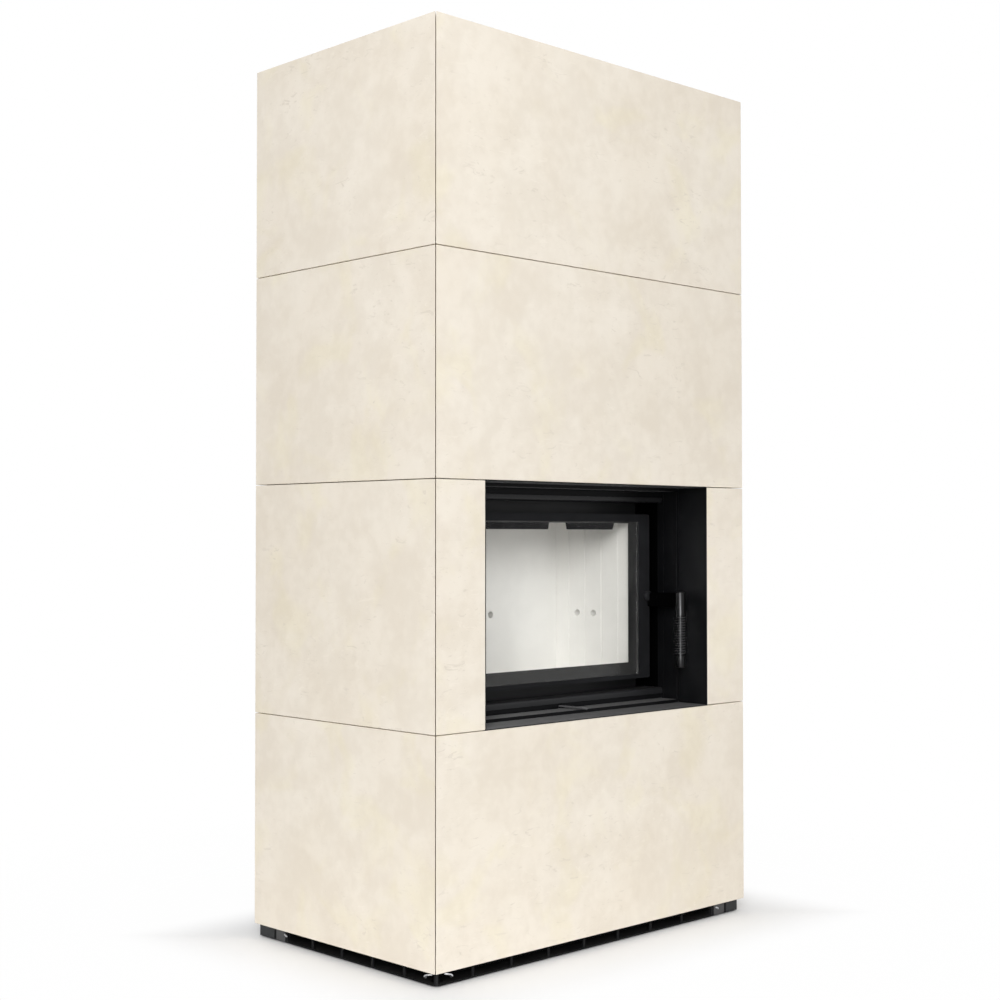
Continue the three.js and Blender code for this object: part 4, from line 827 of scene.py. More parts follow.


# The baffle is a thin wall of the plinth's black just behind the slots, put there to keep them dark: a painted shade
# where the shade under the stove would show.
PLINTH_SHEET, FLANGE, BAFFLE = 3 * MM, 52 * MM, 1 * MM
BAFFLE_SLIT = 0.5 * MM  # under the baffle behind the slots
PLINTH_RADIUS, PLINTH_CORNER = 14 * MM, 0.1 * MM  # of its front and its rear corners
SLOT_RIB, SLOT_MARGIN, SLOT_ROUND = 8 * MM, 3.2 * MM, 3 * MM
FRONT_RIBS = np.array([-532, -424, -302, -180, -58, 64, 186, 308, 430]) * MM
SIDE_RIBS = np.array([-319.5, -216, -104, 8, 120, 222]) * MM
PLINTH_PLATE, PLATE_GAP, BRACKET_GAP = 1 * MM, 0.6 * MM, 3 * MM
FRONT_PLATE, FRONT_BRACKET = np.array([488, 535]) * MM, np.array([438, 480]) * MM
SIDE_PLATE, SIDE_BRACKET = np.array([272, 331]) * MM, np.array([228, 264]) * MM
FRONT_HOOKS, SIDE_HOOKS = np.array([-507, 444]) * MM, np.array([-306, 234]) * MM
HOOK_DROP, SMALL_DROP, SMALL_HOOK = 5 * MM, 3 * MM, 12 * MM
HOOK_WIRE, HOOK_PROUD, HOOK_BACK = 2.2 * MM, 1.6 * MM, 6 * MM
HOOK_RISE = 0.48  # of its reach
FOOT_ROOM = 0.6 * MM


def plinth_loop(inset, z):
    """The plinth's outline from above, moved inwards; only its front corners are round."""
    low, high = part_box("plinth_frame")
    rect = grown((low.x, high.x, low.y, high.y), -inset)
    front = rounded(rect, max(PLINTH_RADIUS - inset, PLINTH_CORNER), 8)
    back = rounded(rect, PLINTH_CORNER, 8)
    return placed(np.where(front[:, 1:] < 0, front, back), z, "Z")


def plinth_slots():
    """Cutters of the air slots between the ribs of each side: prisms with round corners."""
    low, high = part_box("plinth_frame")
    bottom, top = low.z + SLOT_MARGIN, high.z - SLOT_MARGIN
    cutters = []
    for ribs, axis, faces in ((FRONT_RIBS, "Y", (low.y, high.y)), (SIDE_RIBS, "X", (low.x, high.x))):
        for start, end in zip(ribs[:-1], ribs[1:]):
            rect = (start + SLOT_RIB / 2, end - SLOT_RIB / 2, bottom, top)
            for face in faces:
                span = (face - 2.5 * PLINTH_SHEET, face + 2.5 * PLINTH_SHEET)
                cutters.append(prism(rounded(rect, SLOT_ROUND), span, axis))
    return cutters


def hook(start, face, top, axis, way, along, reach):
    """A small wire hook in a slot: a quarter ellipse (reach sin a, rise cos a) that starts at
    the top of the slot, and whose ends bend back through the sheet."""
    turn = np.linspace(0, math.pi / 2, 25)
    u = start + along * reach * np.sin(turn)
    v = top - HOOK_RISE * reach * (1 - np.cos(turn))
    w = face + way * (HOOK_PROUD - HOOK_BACK * np.abs(np.cos(2 * turn)) ** 8)
    points = {"Y": (u, w, v), "X": (w, u, v)}[axis]
    return wire(np.stack(points, -1), HOOK_WIRE, 8, up=(0, 1, 0) if axis == "Y" else (1, 0, 0))


THREAD_STEPS = 26


def foot(node):
    """A levelling foot: a chamfered pad, a nut and a threaded stem."""
    low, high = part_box(node)
    centre = ((low.x + high.x) / 2, (low.y + high.y) / 2, low.z)
    pad = [(0, 0), (13.2, 0), (14, 0.8), (14, 4.5), (12.8, 6), (7.5, 6), (7.5, 11)]
    rise = np.linspace(pad[-1][1], (high.z - low.z) / MM - 0.4, THREAD_STEPS)
    stem = np.stack([np.where(np.arange(THREAD_STEPS) % 2, 4.5, 5.0), rise], -1)
    profile = np.array([*pad, *stem, (0, rise[-1])]) * MM
    return turned(profile, centre, sides=24)


def feet_nodes():
    """The CAD nodes of the levelling feet."""
    return [f"levelling_foot_{end}_{side}" for end in ("front", "rear") for side in ("left", "right")]


def plinth_plates(low, high):
    """Plain end plates of the front and of the left and right side, with the shorter plates
    beside them, each a thin plate on the face of the plinth."""
    bottom, top = low.z + PLATE_GAP, high.z - PLATE_GAP
    ends, brackets = [], []
    for axis, plate, bracket, span in (
        ("Y", FRONT_PLATE, FRONT_BRACKET, (low.y - PLINTH_PLATE, low.y)),
        ("X", SIDE_PLATE, SIDE_BRACKET, (low.x - PLINTH_PLATE, low.x)),
        ("X", SIDE_PLATE, SIDE_BRACKET, (high.x, high.x + PLINTH_PLATE)),
    ):
        ends.append(prism(rounded((*plate, bottom, top), MM), span, axis))
        brackets.append(prism(rounded((*bracket, bottom, top - BRACKET_GAP), 3 * MM), span, axis))
    return ends, brackets


def make_plinth():
    """Plinth skirt, a channel with air slots, its plates, hooks and levelling feet."""
    low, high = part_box("plinth_frame")
    top, bottom = high.z - PLINTH_SHEET, low.z + PLINTH_SHEET
    slit, back = bottom + BAFFLE_SLIT, FLANGE - BAFFLE
    # The wall at the flange's depth is the baffle: painted shade behind the slots.
    section = [(0, low.z), (0, high.z), (FLANGE, high.z), (FLANGE, slit), (back, slit), (back, top)]
    section += [(PLINTH_SHEET, top), (PLINTH_SHEET, bottom), (FLANGE, bottom), (FLANGE, low.z)]
    skirt = lofted([plinth_loop(inset, z) for inset, z in section], closed=True)
    cutters = plinth_slots()
    for node in feet_nodes():
        near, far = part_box(node)
        middle = ((near.x + far.x) / 2, (near.y + far.y) / 2, 0)
        reach = (far.x - near.x) / 2 + FOOT_ROOM
        cutters.append(turned(rod(reach, -MM, bottom + MM), middle))
        make(node.replace("levelling_", ""), [foot(node)], "foot", "root", (node,))
    make("plinth_skirt", [skirt], "plinth", "root", ("plinth_frame",), cutters=cutters)
    ends, brackets = plinth_plates(low, high)
    make("plinth_end_plates", ends, "plate", "root")
    make("plinth_brackets", brackets, "bracket", "root")
    hooks, under = [], high.z - SLOT_MARGIN - HOOK_DROP
    for (first, second), face, axis, way, along in (
        (FRONT_HOOKS, low.y, "Y", -1, 1),
        (SIDE_HOOKS, low.x, "X", -1, -1),
        (SIDE_HOOKS, high.x, "X", 1, -1),
    ):
        hooks.append(hook(first, face, under, axis, way, 1, sizes().hook_radius))
        hooks.append(hook(second, face, under - SMALL_DROP, axis, way, along, SMALL_HOOK))
    make("plinth_hooks", hooks, "zinc", "root")


def screw(base, axis):
    """A pan-head screw with a socket, turned round its axis."""
    radius = sizes().screw_radius
    profile = [(0, 0), (1, 0), (1, 0.12), (0.86, 0.34), (0.55, 0.46), (0.42, 0.47), (0.4, 0.2), (0, 0.2)]
    return turned(np.array(profile) * radius, base, axis, 12)


PANEL_MARGINS = (15 * MM, 22 * MM)  # of the screws from the rear panel's sides and ends
TOP_MARGINS = (16 * MM, 30 * MM, 14 * MM)  # from the top plate's sides, corners, front and back


def make_panels():
    """Rear panel, top plate and the screws along their edges."""
    softened("rear_panel", "panel", 0.5 * MM)
    softened("top_plate", "panel", 0.5 * MM)
    low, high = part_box("rear_panel")
    side, end = PANEL_MARGINS
    rows = np.linspace(low.z + end, high.z - end, 8)
    columns = np.linspace(low.x + side, high.x - side, 6)
    places = [(x, z) for z in rows for x in columns[[0, -1]]]
    places += [(x, z) for x in columns[1:-1] for z in rows[[0, -1]]]
    heads = [screw((x, high.y, z), "Y") for x, z in places]
    low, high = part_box("top_plate")
    side, corner, end = TOP_MARGINS
    rows, columns = np.linspace(low.y + corner, high.y - corner, 5), np.linspace(low.x, high.x, 6)[1:-1]
    places = [(x, y) for x in (low.x + side, high.x - side) for y in rows]
    places += [(x, y) for x in columns for y in (low.y + end, high.y - end)]
    heads += [screw((x, y, high.z), "Z") for x, y in places]
    make("panel_screws", heads, "zinc", "root")


def make_frame():
    """Angle iron and boards inside the casing."""
    posts = [f"post_{end}_{side}" for end in ("front", "rear") for side in ("left", "right")]
    for node in (*posts, "sill_rail", "lintel_rail"):
        softened(node, "frame", 0.8 * MM)
    for side in ("left", "right", "rear"):
        softened("insulation_" + side, "insulation", 1.5 * MM)


# ---- Niche ------------------------------------------------------------------

SLEEVE_SHEET, SLEEVE_INSET = 2 * MM, 10 * MM
SHIELD_SHEET, SHIELD_BEND, SHIELD_BACK = 1.5 * MM, 6 * MM, -126 * MM
CLOSING_SHEET, CLOSING_BEND, CLOSING_DEPTH = 1 * MM, 1.5 * MM, 12 * MM
CLOSING_FACE, ROD_ROOM = -190 * MM, 7.5 * MM
STRIP_START = 20 * MM  # of the side strips, behind the front of the shield
SHEET_GAP = 0.2 * MM


def make_niche():
    """Both sleeves, the rails over and under the door, and the sheet round the insert."""
    arris = sizes().sheet_arris
    rect, span = rect_of("niche_outer_sleeve")
    shell = band(rect, grown(rect, -SLEEVE_SHEET), span)
    make("niche_outer", [shell], "black", "root", ("niche_outer_sleeve",), arris)
    rect, (front, back) = rect_of("niche_inner_sleeve")
    inner = grown(rect, -SLEEVE_INSET)
    outer = grown(inner, SLEEVE_SHEET)
    step = front + SLEEVE_SHEET
    loops = [(rect, front), (inner, front), (inner, back), (outer, back), (outer, step), (rect, step)]
    shell = ring([(each, HAIR, depth) for each, depth in loops])
    make("niche_inner", [shell], "black", "root", ("niche_inner_sleeve",), arris)
    for node, up in (("niche_rail_top", 1), ("niche_rail_bottom", -1)):
        (left, right, bottom, top), (front, back) = rect_of(node)
        half = SLEEVE_SHEET / 2
        edge, fold = (top, bottom + half) if up > 0 else (bottom, top - half)
        path = [(front + half, edge), (front + half, fold), (back, fold)]
        shell = folded(path, SLEEVE_SHEET, sizes().rail_bend, "X", (left, right))
        make(node + "_folded", [shell], "rail", "root", (node,), arris)
    rect, (_, start) = rect_of("niche_inner_sleeve")
    inner, start = grown(rect, -SLEEVE_INSET), start + SHEET_GAP
    # The shield is a dark sheet round the insert: in part the sleeve carried on, and in part a painted shade that
    # keeps the casing's inside dark.
    shell = band(grown(inner, SHIELD_SHEET), inner, (start, SHIELD_BACK))
    make("niche_shield", [shell], "black", "root")
    # The side strips are near-black without gloss: painted shade for the dark gap beside the front plate.
    make("niche_side_strips", side_strips(inner, start + STRIP_START), "matt", "root")
    make("niche_closing_strips", closing_strips(inner), "black", "root")


def closing_strips(inner):
    """Angled strips that close the gaps over the upper and under the lower rail, the lower one
    in two halves that let the control rod through."""
    left, right, bottom, top = grown(inner, -SHEET_GAP)
    (_, _, _, over), _ = rect_of("niche_rail_top")
    (_, _, under, _), _ = rect_of("niche_rail_bottom")
    half = CLOSING_SHEET / 2
    face, back = CLOSING_FACE + half, CLOSING_FACE + CLOSING_DEPTH
    spans = [(left, right), (left, -ROD_ROOM), (ROD_ROOM, right)]
    edges = [(over + SHEET_GAP, top - half)] + [(under - SHEET_GAP, bottom + half)] * 2
    return [
        folded([(face, edge), (face, fold), (back, fold)], CLOSING_SHEET, CLOSING_BEND, "X", span)
        for span, (edge, fold) in zip(spans, edges)
    ]


def side_strips(inner, start):
    """Folded strips that close the gaps beside the front plate: along the shield's sides, and across behind the plate
    as far as the firebox. They are near-black without gloss: painted shade for the dark gap there."""
    (_, body, _, _), _ = rect_of("firebox_body")
    _, (_, back) = rect_of("front_frame")
    across = back + SHIELD_SHEET
    path = np.array([(inner[1] - MM, start), (inner[1] - MM, across), (body + 2 * MM, across)])
    span = (inner[2] + 0.5 * MM, inner[3] - 0.5 * MM)
    return [folded(path * (way, 1), SHIELD_SHEET, SHIELD_BEND, "Z", span) for way in (-1, 1)]


# ---- Insert -----------------------------------------------------------------

GROOVE_PLACES = np.array([-132.5, -81.5, -30.5, 20.5]) * MM
BOARD, LIP = 25 * MM, 12 * MM
LINING_BACK = 246 * MM  # half the width between the side boards at the back
LINING_SLOPE = 38.1 / 229
LINING_FRONT, NECK_FRONT = -134.2 * MM, -166.2 * MM
JOINT_ACROSS = np.array([-2.2, -1.3, -1.1, 1.1, 1.3, 2.2]) * MM
JOINT_DEPTH = np.array([0, 0.9, 2.5, 2.5, 0.9, 0]) * MM
LIP_SPAN = (650.3 * MM, 1029.7 * MM)
AIR_HOLE_PLACES, AIR_HOLE_Z = (-56 * MM, -5 * MM), 790.3 * MM
AIR_HOLE_RADIUS, AIR_HOLE_DEPTH = 8.5 * MM, 27 * MM


def lining_x(y):
    """Half the width of the firebox at a depth."""
    return LINING_BACK + LINING_SLOPE * (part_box("lining_rear")[0].y - y)


def side_board(side):
    """A side board and its lip in the neck, from above: the inner face goes in by the joint's
    depth across each joint, and the foremost joint runs out at the front."""
    rear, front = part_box("lining_rear")[0].y - 0.3 * MM, LINING_FRONT
    low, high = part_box("lining_" + ("left" if side < 0 else "right"))
    joints = (GROOVE_PLACES[1:, None] + JOINT_ACROSS).ravel()
    sunk = np.tile(JOINT_DEPTH, len(GROOVE_PLACES) - 1)
    first = GROOVE_PLACES[0] + JOINT_ACROSS[-1]
    y = np.concatenate([[front, first - JOINT_DEPTH[1], first], joints, [rear]])
    x = lining_x(y) + np.concatenate([[JOINT_DEPTH[2], 0, 0], sunk, [0]])
    x[1] = x[2] + JOINT_DEPTH[1]
    outer = [(lining_x(rear) + BOARD, rear), (lining_x(front) + BOARD, front)]
    flip = np.array([side, 1.0])
    board = prism(np.concatenate([np.stack([x, y], -1), outer]) * flip, (low.z, high.z), "Z")
    y = np.array([NECK_FRONT, front - 2 * HAIR])
    lip = doubled(np.stack([lining_x(y), y], -1), LIP)
    return [board, prism(lip * flip, LIP_SPAN, "Z")]


def make_lining():
    """Firebox boards with their joints and air holes, hearth, baffle and grate."""
    hole = rod(AIR_HOLE_RADIUS, -6 * MM, AIR_HOLE_DEPTH)
    for node, side in (("lining_left", -1), ("lining_right", 1)):
        drilled = hole * (1, side)
        cutters = [turned(drilled, (side * lining_x(y), y, AIR_HOLE_Z), "X", 24) for y in AIR_HOLE_PLACES]
        make(node + "_board", side_board(side), "lining", "root", (node,), 0.5 * MM, cutters=cutters)
    low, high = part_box("lining_rear")
    cutters = [turned(hole, (0, low.y, AIR_HOLE_Z), "Y", 24)]
    make("lining_rear_board", [block(low, high)], "lining", "root", ("lining_rear",), 0.8 * MM, cutters=cutters)
    softened("hearth_slab", "lining", 1.0 * MM)
    softened("baffle", "lining", 1.2 * MM)
    softened("grate", "iron", 1.0 * MM)


FLUE_Y = -21.35 * MM
FLANGE_RISE = 5 * MM
COLLAR_OUTER, COLLAR_INNER = 86.7 * MM, 83.7 * MM
PIPE_OUTER, PIPE_INNER, PIPE_BEAD = 90 * MM, 87 * MM, 2.2 * MM
DUCT_OUTER, DUCT_INNER, DUCT_BEAD = 62.5 * MM, 60 * MM, 1.6 * MM
BEAD_PLACE, BEAD_WIDTH = 44 * MM, 16 * MM
BOLT_CIRCLE, BOLT_RADIUS, BOLT_RISE = 98 * MM, 6 * MM, 4 * MM


def tube_profile(outer, inner, low, high, bead):
    """A tube wall with a rolled bead near its end: over the bead's width the wall bulges by
    the bead times sin^2."""
    turn = np.linspace(0, math.pi, 9)
    z = high - BEAD_PLACE + BEAD_WIDTH * turn / math.pi
    bulge = np.concatenate([[0], bead * np.sin(turn) ** 2, [0]])
    height = np.concatenate([[low], z, [high]])
    return doubled(np.stack([outer + bulge, height], -1), inner - outer)


def hex_head(base, axis, radius, height):
    """A hexagon head with a chamfer."""
    profile = np.array([(0, 0), (1, 0), (1, 0.8), (0.86, 1), (0, 1)]) * (radius, height)
    return turned(profile, base, axis, 6)


def make_flue():
    """Collar with its bolts, and the flue pipe."""
    low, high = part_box("flue_collar")
    outer, inner, flange = COLLAR_OUTER, COLLAR_INNER, (high.x - low.x) / 2
    rise = low.z + FLANGE_RISE
    profile = [(inner, low.z), (flange - MM, low.z), (flange, low.z + MM), (flange, rise - MM), (flange - MM, rise)]
    profile += [(outer + 5 * MM, rise), (outer + 1.5 * MM, rise + 0.1 * MM), (outer, rise + 0.3 * MM)]
    profile += [(outer, high.z), (inner, high.z)]
    make("flue_collar_cast", [turned(profile, (0, FLUE_Y, 0), sides=96)], "iron", "root", ("flue_collar",))
    turn = np.arange(6) * math.pi / 3 + math.pi / 6
    places = np.stack([BOLT_CIRCLE * np.cos(turn), FLUE_Y + BOLT_CIRCLE * np.sin(turn), 0 * turn + rise], -1)
    bolts = [hex_head(place, "Z", BOLT_RADIUS, BOLT_RISE) for place in places]
    make("flue_collar_bolts", bolts, "zinc", "root")
    low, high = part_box("flue_pipe")
    wall = tube_profile(PIPE_OUTER, PIPE_INNER, low.z, high.z, PIPE_BEAD)
    make("flue_pipe_beaded", [turned(wall, (0, FLUE_Y, 0), sides=96)], "panel", "root", ("flue_pipe",), 0.5 * MM)


def make_insert():
    """Front plate, body, hinge pins and stand."""
    softened("front_frame", "front", 0.8 * MM)
    softened("firebox_body", "black", 1.5 * MM)
    softened("insert_stand", "frame", 2.0 * MM)
    for node in ("hinge_pin_lower", "hinge_pin_upper"):
        softened(node, "zinc", 0.4 * MM)


def make_air():
    """Air box, duct, damper and the rod with its stop collar and pull end."""
    softened("air_box", "black", 1.0 * MM)
    softened("air_damper", "zinc", 0.5 * MM, "air_control")
    low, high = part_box("air_duct")
    centre_z = (low.z + high.z) / 2
    wall = tube_profile(DUCT_OUTER, DUCT_INNER, low.y, high.y, DUCT_BEAD)
    make("air_duct_beaded", [turned(wall, (0, 0, centre_z), "Y", 72)], "zinc", "root", ("air_duct",), 0.4 * MM)
    flange = np.array([(65, 0), (80, 0), (80, 1), (79, 1.5), (65, 1.5)]) * MM
    place = (0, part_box("rear_panel")[1].y, centre_z)
    make("duct_flange", [turned(flange, place, "Y", 72)], "zinc", "root")
    low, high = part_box("air_control_rod")
    centre = (0, 0, (low.z + high.z) / 2)
    tip, end = low.y / MM, high.y / MM
    thin = [(0, tip), (1.6, tip + 0.4), (2.4, tip + 1.4), (2.8, tip + 3), (2.8, -157)]
    collar = [(5.0, -156.6), (5.6, -155.6), (5.6, -147.4), (5.0, -146.4), (3.8, -146)]
    profile = np.array([*thin, *collar, (3.8, end), (0, end)]) * MM
    make("air_control_pull", [turned(profile, centre, "Y", 32)], "steel_rod", "air_control", ("air_control_rod",))


# ---- Door -------------------------------------------------------------------

DOOR_SHEET = 4 * MM
HINGE = (-336 * MM, -149.5 * MM)  # the hinge pins from above
LATCH = (329 * MM, 838 * MM)  # the latch shaft from the front
SHAFT_BORE, PIN_BORE = 6.3 * MM, 3.3 * MM
# Opposite corners of the slot for the tongue, from the side of the frame and the latch shaft.
TONGUE_SLOT = np.array([(-9, -156.5, -49), (5, -149.5, 6.5)]) * MM
PANE_ROOM, BORDER_ROOM = 0.3 * MM, 0.25 * MM
CLIP_LEANS = {"glass_clip_left": (3 * MM, 5 * MM), "glass_clip_right": (5 * MM, 7 * MM)}
PANE_REST = 13 * MM  # how far the pane reaches down behind the lower bar of the door


def make_door():
    """Door frame, pane with its printed border, seal, clips and bearings."""
    outer, (front, back) = rect_of("door_frame")
    (left, right, bottom, top), pane_span = rect_of("door_glass")
    pane = (left, right, bottom - PANE_REST, top)
    opening, inside = grown(pane, PANE_ROOM), grown(outer, -DOOR_SHEET)
    radius = sizes().door_radius
    small = max(radius - DOOR_SHEET, PANE_ROOM)
    face = front + DOOR_SHEET
    loops = [(outer, radius, back), (outer, radius, front), (opening, PANE_ROOM, front)]
    loops += [(opening, PANE_ROOM, face), (inside, small, face), (inside, small, back)]
    x, z = LATCH
    slot = block(*(TONGUE_SLOT + (outer[1], 0, z)))
    bore = turned(rod(SHAFT_BORE, -6 * MM, 8 * MM), (x, front, z), "Y", 32)
    cutters = [slot, bore, turned(rod(PIN_BORE, 0, 440 * MM), (*HINGE, outer[2] - 5 * MM), "Z", 24)]
    make("door_leaf", [ring(loops)], "door", "door", ("door_frame",), 1.2 * MM, cutters=cutters)
    bush = np.array([(6.3, 0), (9.5, 0), (9.5, 17), (9, 17.7), (6.3, 17.7)]) * MM
    knuckle = np.array([(3.3, 0), (6.8, 0), (6.8, 10), (3.3, 10)]) * MM
    shells = [turned(bush, (x, face + 0.1 * MM, z), "Y", 32)]
    shells += [turned(knuckle, (*HINGE, level), "Z", 24) for level in (inside[2] + 0.1 * MM, inside[3] - 10.1 * MM)]
    make("door_bearings", shells, "zinc", "door")
    make("door_pane", [prism(rounded(pane, MM), pane_span, "Y")], "glass", "door", ("door_glass",), 0.4 * MM)
    edge = sizes()
    seen = (left + edge.border_side, right - edge.border_side, pane[2] + edge.border_bottom, top - edge.border_top)
    print_span = (pane_span[1] + 0.05 * MM, pane_span[1] + 0.2 * MM)
    make("pane_border", [band(grown(pane, BORDER_ROOM), seen, print_span)], "border", "door")
    make_seal()
    for node, (lean_left, lean_right) in CLIP_LEANS.items():
        (left, right, bottom, top), span = rect_of(node)
        shape = [(left, top), (left + lean_left, bottom), (right - lean_right, bottom), (right, top)]
        make(node + "_bent", [prism(shape, span, "Y")], "door", "door", (node,), 1.0 * MM)


SEAL_WIDE, SEAL_CORNER = 5 * MM, 19 * MM


def make_seal():
    """The rope seal: an oval section (wide cos a, deep sin a) carried round a rectangle with
    round corners."""
    rect, (front, back) = rect_of("door_seal")
    middle, deep = (front + back) / 2, (back - front) / 2
    turn = np.linspace(0, 2 * math.pi, 16, endpoint=False)
    reach = SEAL_WIDE * (np.cos(turn) - 1)
    loops = [
        (grown(rect, out), SEAL_CORNER + out, middle + deep * math.sin(a)) for out, a in zip(reach, turn)
    ]
    make("door_rope", [ring(loops)], "rope", "door", ("door_seal",))


# ---- Handle -----------------------------------------------------------------

BOSS_DEPTHS = (-200.8, -187.8)
ARM_HALF, ARM_SPAN = 4 * MM, (-27 * MM, 9 * MM)  # half its thickness, and its ends from the shaft
SLEEVE_LOWER, SLEEVE_UPPER, GRIP_CORE = 31.0, 62.0, 2.6
COIL_PROUD = 4.5  # how far the coil stands out from the grip


def arm_outline():
    """The arm from above, curved from the boss to the grip."""
    start, bend, end = np.array([(329, -194.3), (349, -235), (349, -279)]) * MM
    t = np.linspace(0, 1, 25)[:, None]
    along = 2 * (1 - t) * (bend - start) + 2 * t * (end - bend)
    return both_sides(leaning(start, bend, end, t), along, ARM_HALF)


def make_handle():
    """Boss and arm, grip, wire coil, shaft and tongue."""
    x, z = LATCH
    front, back = BOSS_DEPTHS
    boss = [(0, front), (9, front), (11.8, front + 1), (13, front + 3), (13, back - 0.8), (12.4, back), (0, back)]
    boss = np.array(boss) * MM
    make("handle_boss", [turned(boss, (x, 0, z), "Y")], "door", "latch", arris=1.2 * MM)
    arm = prism(arm_outline(), [z + end for end in ARM_SPAN], "Z")
    # The bracket is near-black without gloss: painted shade, so that it sinks into the dark gap beside the door.
    make("handle_bracket", [arm], "matt", "latch", ("handle_arm",), 1.2 * MM)
    low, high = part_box("handle_grip")
    centre = ((low.x + high.x) / 2, (low.y + high.y) / 2, low.z)
    radius, tall = (high.x - low.x) / 2 / MM, (high.z - low.z) / MM
    lower, upper, core = SLEEVE_LOWER, tall - SLEEVE_UPPER, radius - GRIP_CORE
    profile = [(0, 0), (radius - 2, 0), (radius - 0.6, 0.6), (radius, 2), (radius, lower - 0.8), (radius - 0.8, lower)]
    profile += [(core, lower), (core, upper), (radius - 0.8, upper), (radius, upper + 0.8)]
    profile += [(radius, tall - 2), (radius - 0.6, tall - 0.6), (radius - 2, tall), (0, tall)]
    make("handle_sleeves", [turned(np.array(profile) * MM, centre)], "gunmetal", "latch", ("handle_grip",))
    shell = coil(centre, (radius + COIL_PROUD) * MM, lower * MM, upper * MM)
    # The coil's lighter nickel is a painted highlight for the glints on its turns.
    make("handle_wire", [shell], "coil", "latch", ("handle_coil",))
    for node in ("latch_shaft", "latch_tongue"):
        softened(node, "zinc", 0.6 * MM, "latch")


def coil(centre, radius, low, high):
    """A helix (r cos a, r sin a, z rising evenly with a) with a round wire carried along it."""
    wire_radius, turns = sizes().coil_wire, sizes().coil_turns
    angle = np.linspace(0, 2 * math.pi * turns, 28 * turns + 1)
    reach = radius - wire_radius
    rise = np.linspace(low + wire_radius, high - wire_radius, len(angle))
    path = np.stack([reach * np.cos(angle), reach * np.sin(angle), rise], -1) + np.asarray(centre)
    return wire(path, wire_radius, 10)


# ---- Stage ------------------------------------------------------------------


def area_lamp(name, place, target, size, power, spread):
    """A flat lamp of a width and height, at a place and turned to a target."""
    light = bpy.data.lights.new(name, "AREA")
    light.shape, light.size, light.size_y, light.spread = "RECTANGLE", *size, spread
    light.energy = power * bpy.context.scene.stove_stage.lamp_level
    thing = linked(name, light)
    thing.location = place
    thing.rotation_euler = (Vector(target) - Vector(place)).to_track_quat("-Z", "Y").to_euler()
    return thing


def lamp(name, place, target, size, share, mirrored=True, spread=math.pi):
    """A square lamp that adds that share of full light at its target: the power is the
    share times pi squared times the distance squared, less in a narrow beam by 1 - a / tan a
    with a half of its angle. Not mirrored, no gloss shows it."""
    distance = (Vector(target) - Vector(place)).length
    narrow = 1 - spread / 2 / math.tan(spread / 2)
    power = share * math.pi**2 * distance**2 * narrow
    area_lamp(name, place, target, (size, size), power, spread).visible_glossy = mirrored


def screen(name, place, target, size, level, mirrored, spread=math.pi):
    """A flat lamp whose face sends out that level of plain white. Mirrored, only a gloss
    shows it; else it only lights what is near it."""
    thing = area_lamp(name, place, target, size, level * math.pi * size[0] * size[1], spread)
    thing.visible_camera = thing.visible_transmission = False
    thing.visible_glossy, thing.visible_diffuse = mirrored, not mirrored


def make_world():
    """Even light from all round, plain white where it is seen or mirrored."""
    world = bpy.data.worlds.new("surroundings")
    bpy.context.scene.world = world
    world.use_nodes = True
    world.node_tree.nodes.clear()
    nodes = Nodes(world.node_tree)
    level = bpy.context.scene.stove_stage.sky_level
    strength = nodes.plus(nodes.times(nodes.mirrored_or_seen(), 1.0 - level), level)
    sky = nodes.add("Background", {"Color": (1, 1, 1, 1), "Strength": strength})
    output = nodes.add("OutputWorld")
    nodes.feed(output.inputs[0], sky.outputs[0])


FLOOR_RADIUS, FLOOR_SIDES = 3.2, 64
FLOOR_FADE = (0.9, 2.2)  # where the floor goes over into the white behind it
FLOOR_WHITE = 0.98  # share of plain white in the floor away from the stove
SHADE_REACH = 0.28  # where the stove's shade on the floor has faded, from its plinth


def floor_finish():
    """A white floor with the stove's soft shade on it, that fades into the white behind it."""
    def build(nodes):
        place = nodes.place()
        away = nodes.add("VectorMath", {0: place}, operation="LENGTH").outputs["Value"]
        fade = nodes.span(away, *FLOOR_FADE)
        _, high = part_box("plinth_frame")
        spots = nodes.add("SeparateXYZ", {0: nodes.vector("ABSOLUTE", place, (0, 0, 0))}).outputs
        beside = nodes.larger(nodes.minus(spots[0], high.x), nodes.minus(spots[1], high.y))
        white = nodes.span(beside, 0.0, SHADE_REACH, 0.0, FLOOR_WHITE)
        white = nodes.times(white, nodes.mirrored_or_seen())
        pale, paler = (0.92, 0.92, 0.92, 1), (0.95, 0.95, 0.95, 1)
        tone = nodes.clouded(place, 0.8, pale, paler)
        ground = nodes.add("BsdfDiffuse", {"Color": tone["Color"]})
        plain = nodes.add("Emission", {"Color": (1, 1, 1, 1), "Strength": 1.0})
        lit = nodes.add("MixShader", {0: white, 1: ground.outputs[0], 2: plain.outputs[0]})
        clear = nodes.add("BsdfTransparent")
        both = nodes.add("MixShader", {0: fade, 1: lit.outputs[0], 2: clear.outputs[0]})
        output = nodes.add("OutputMaterial")
        nodes.feed(output.inputs[0], both.outputs[0])

    return material("studio_floor", build)


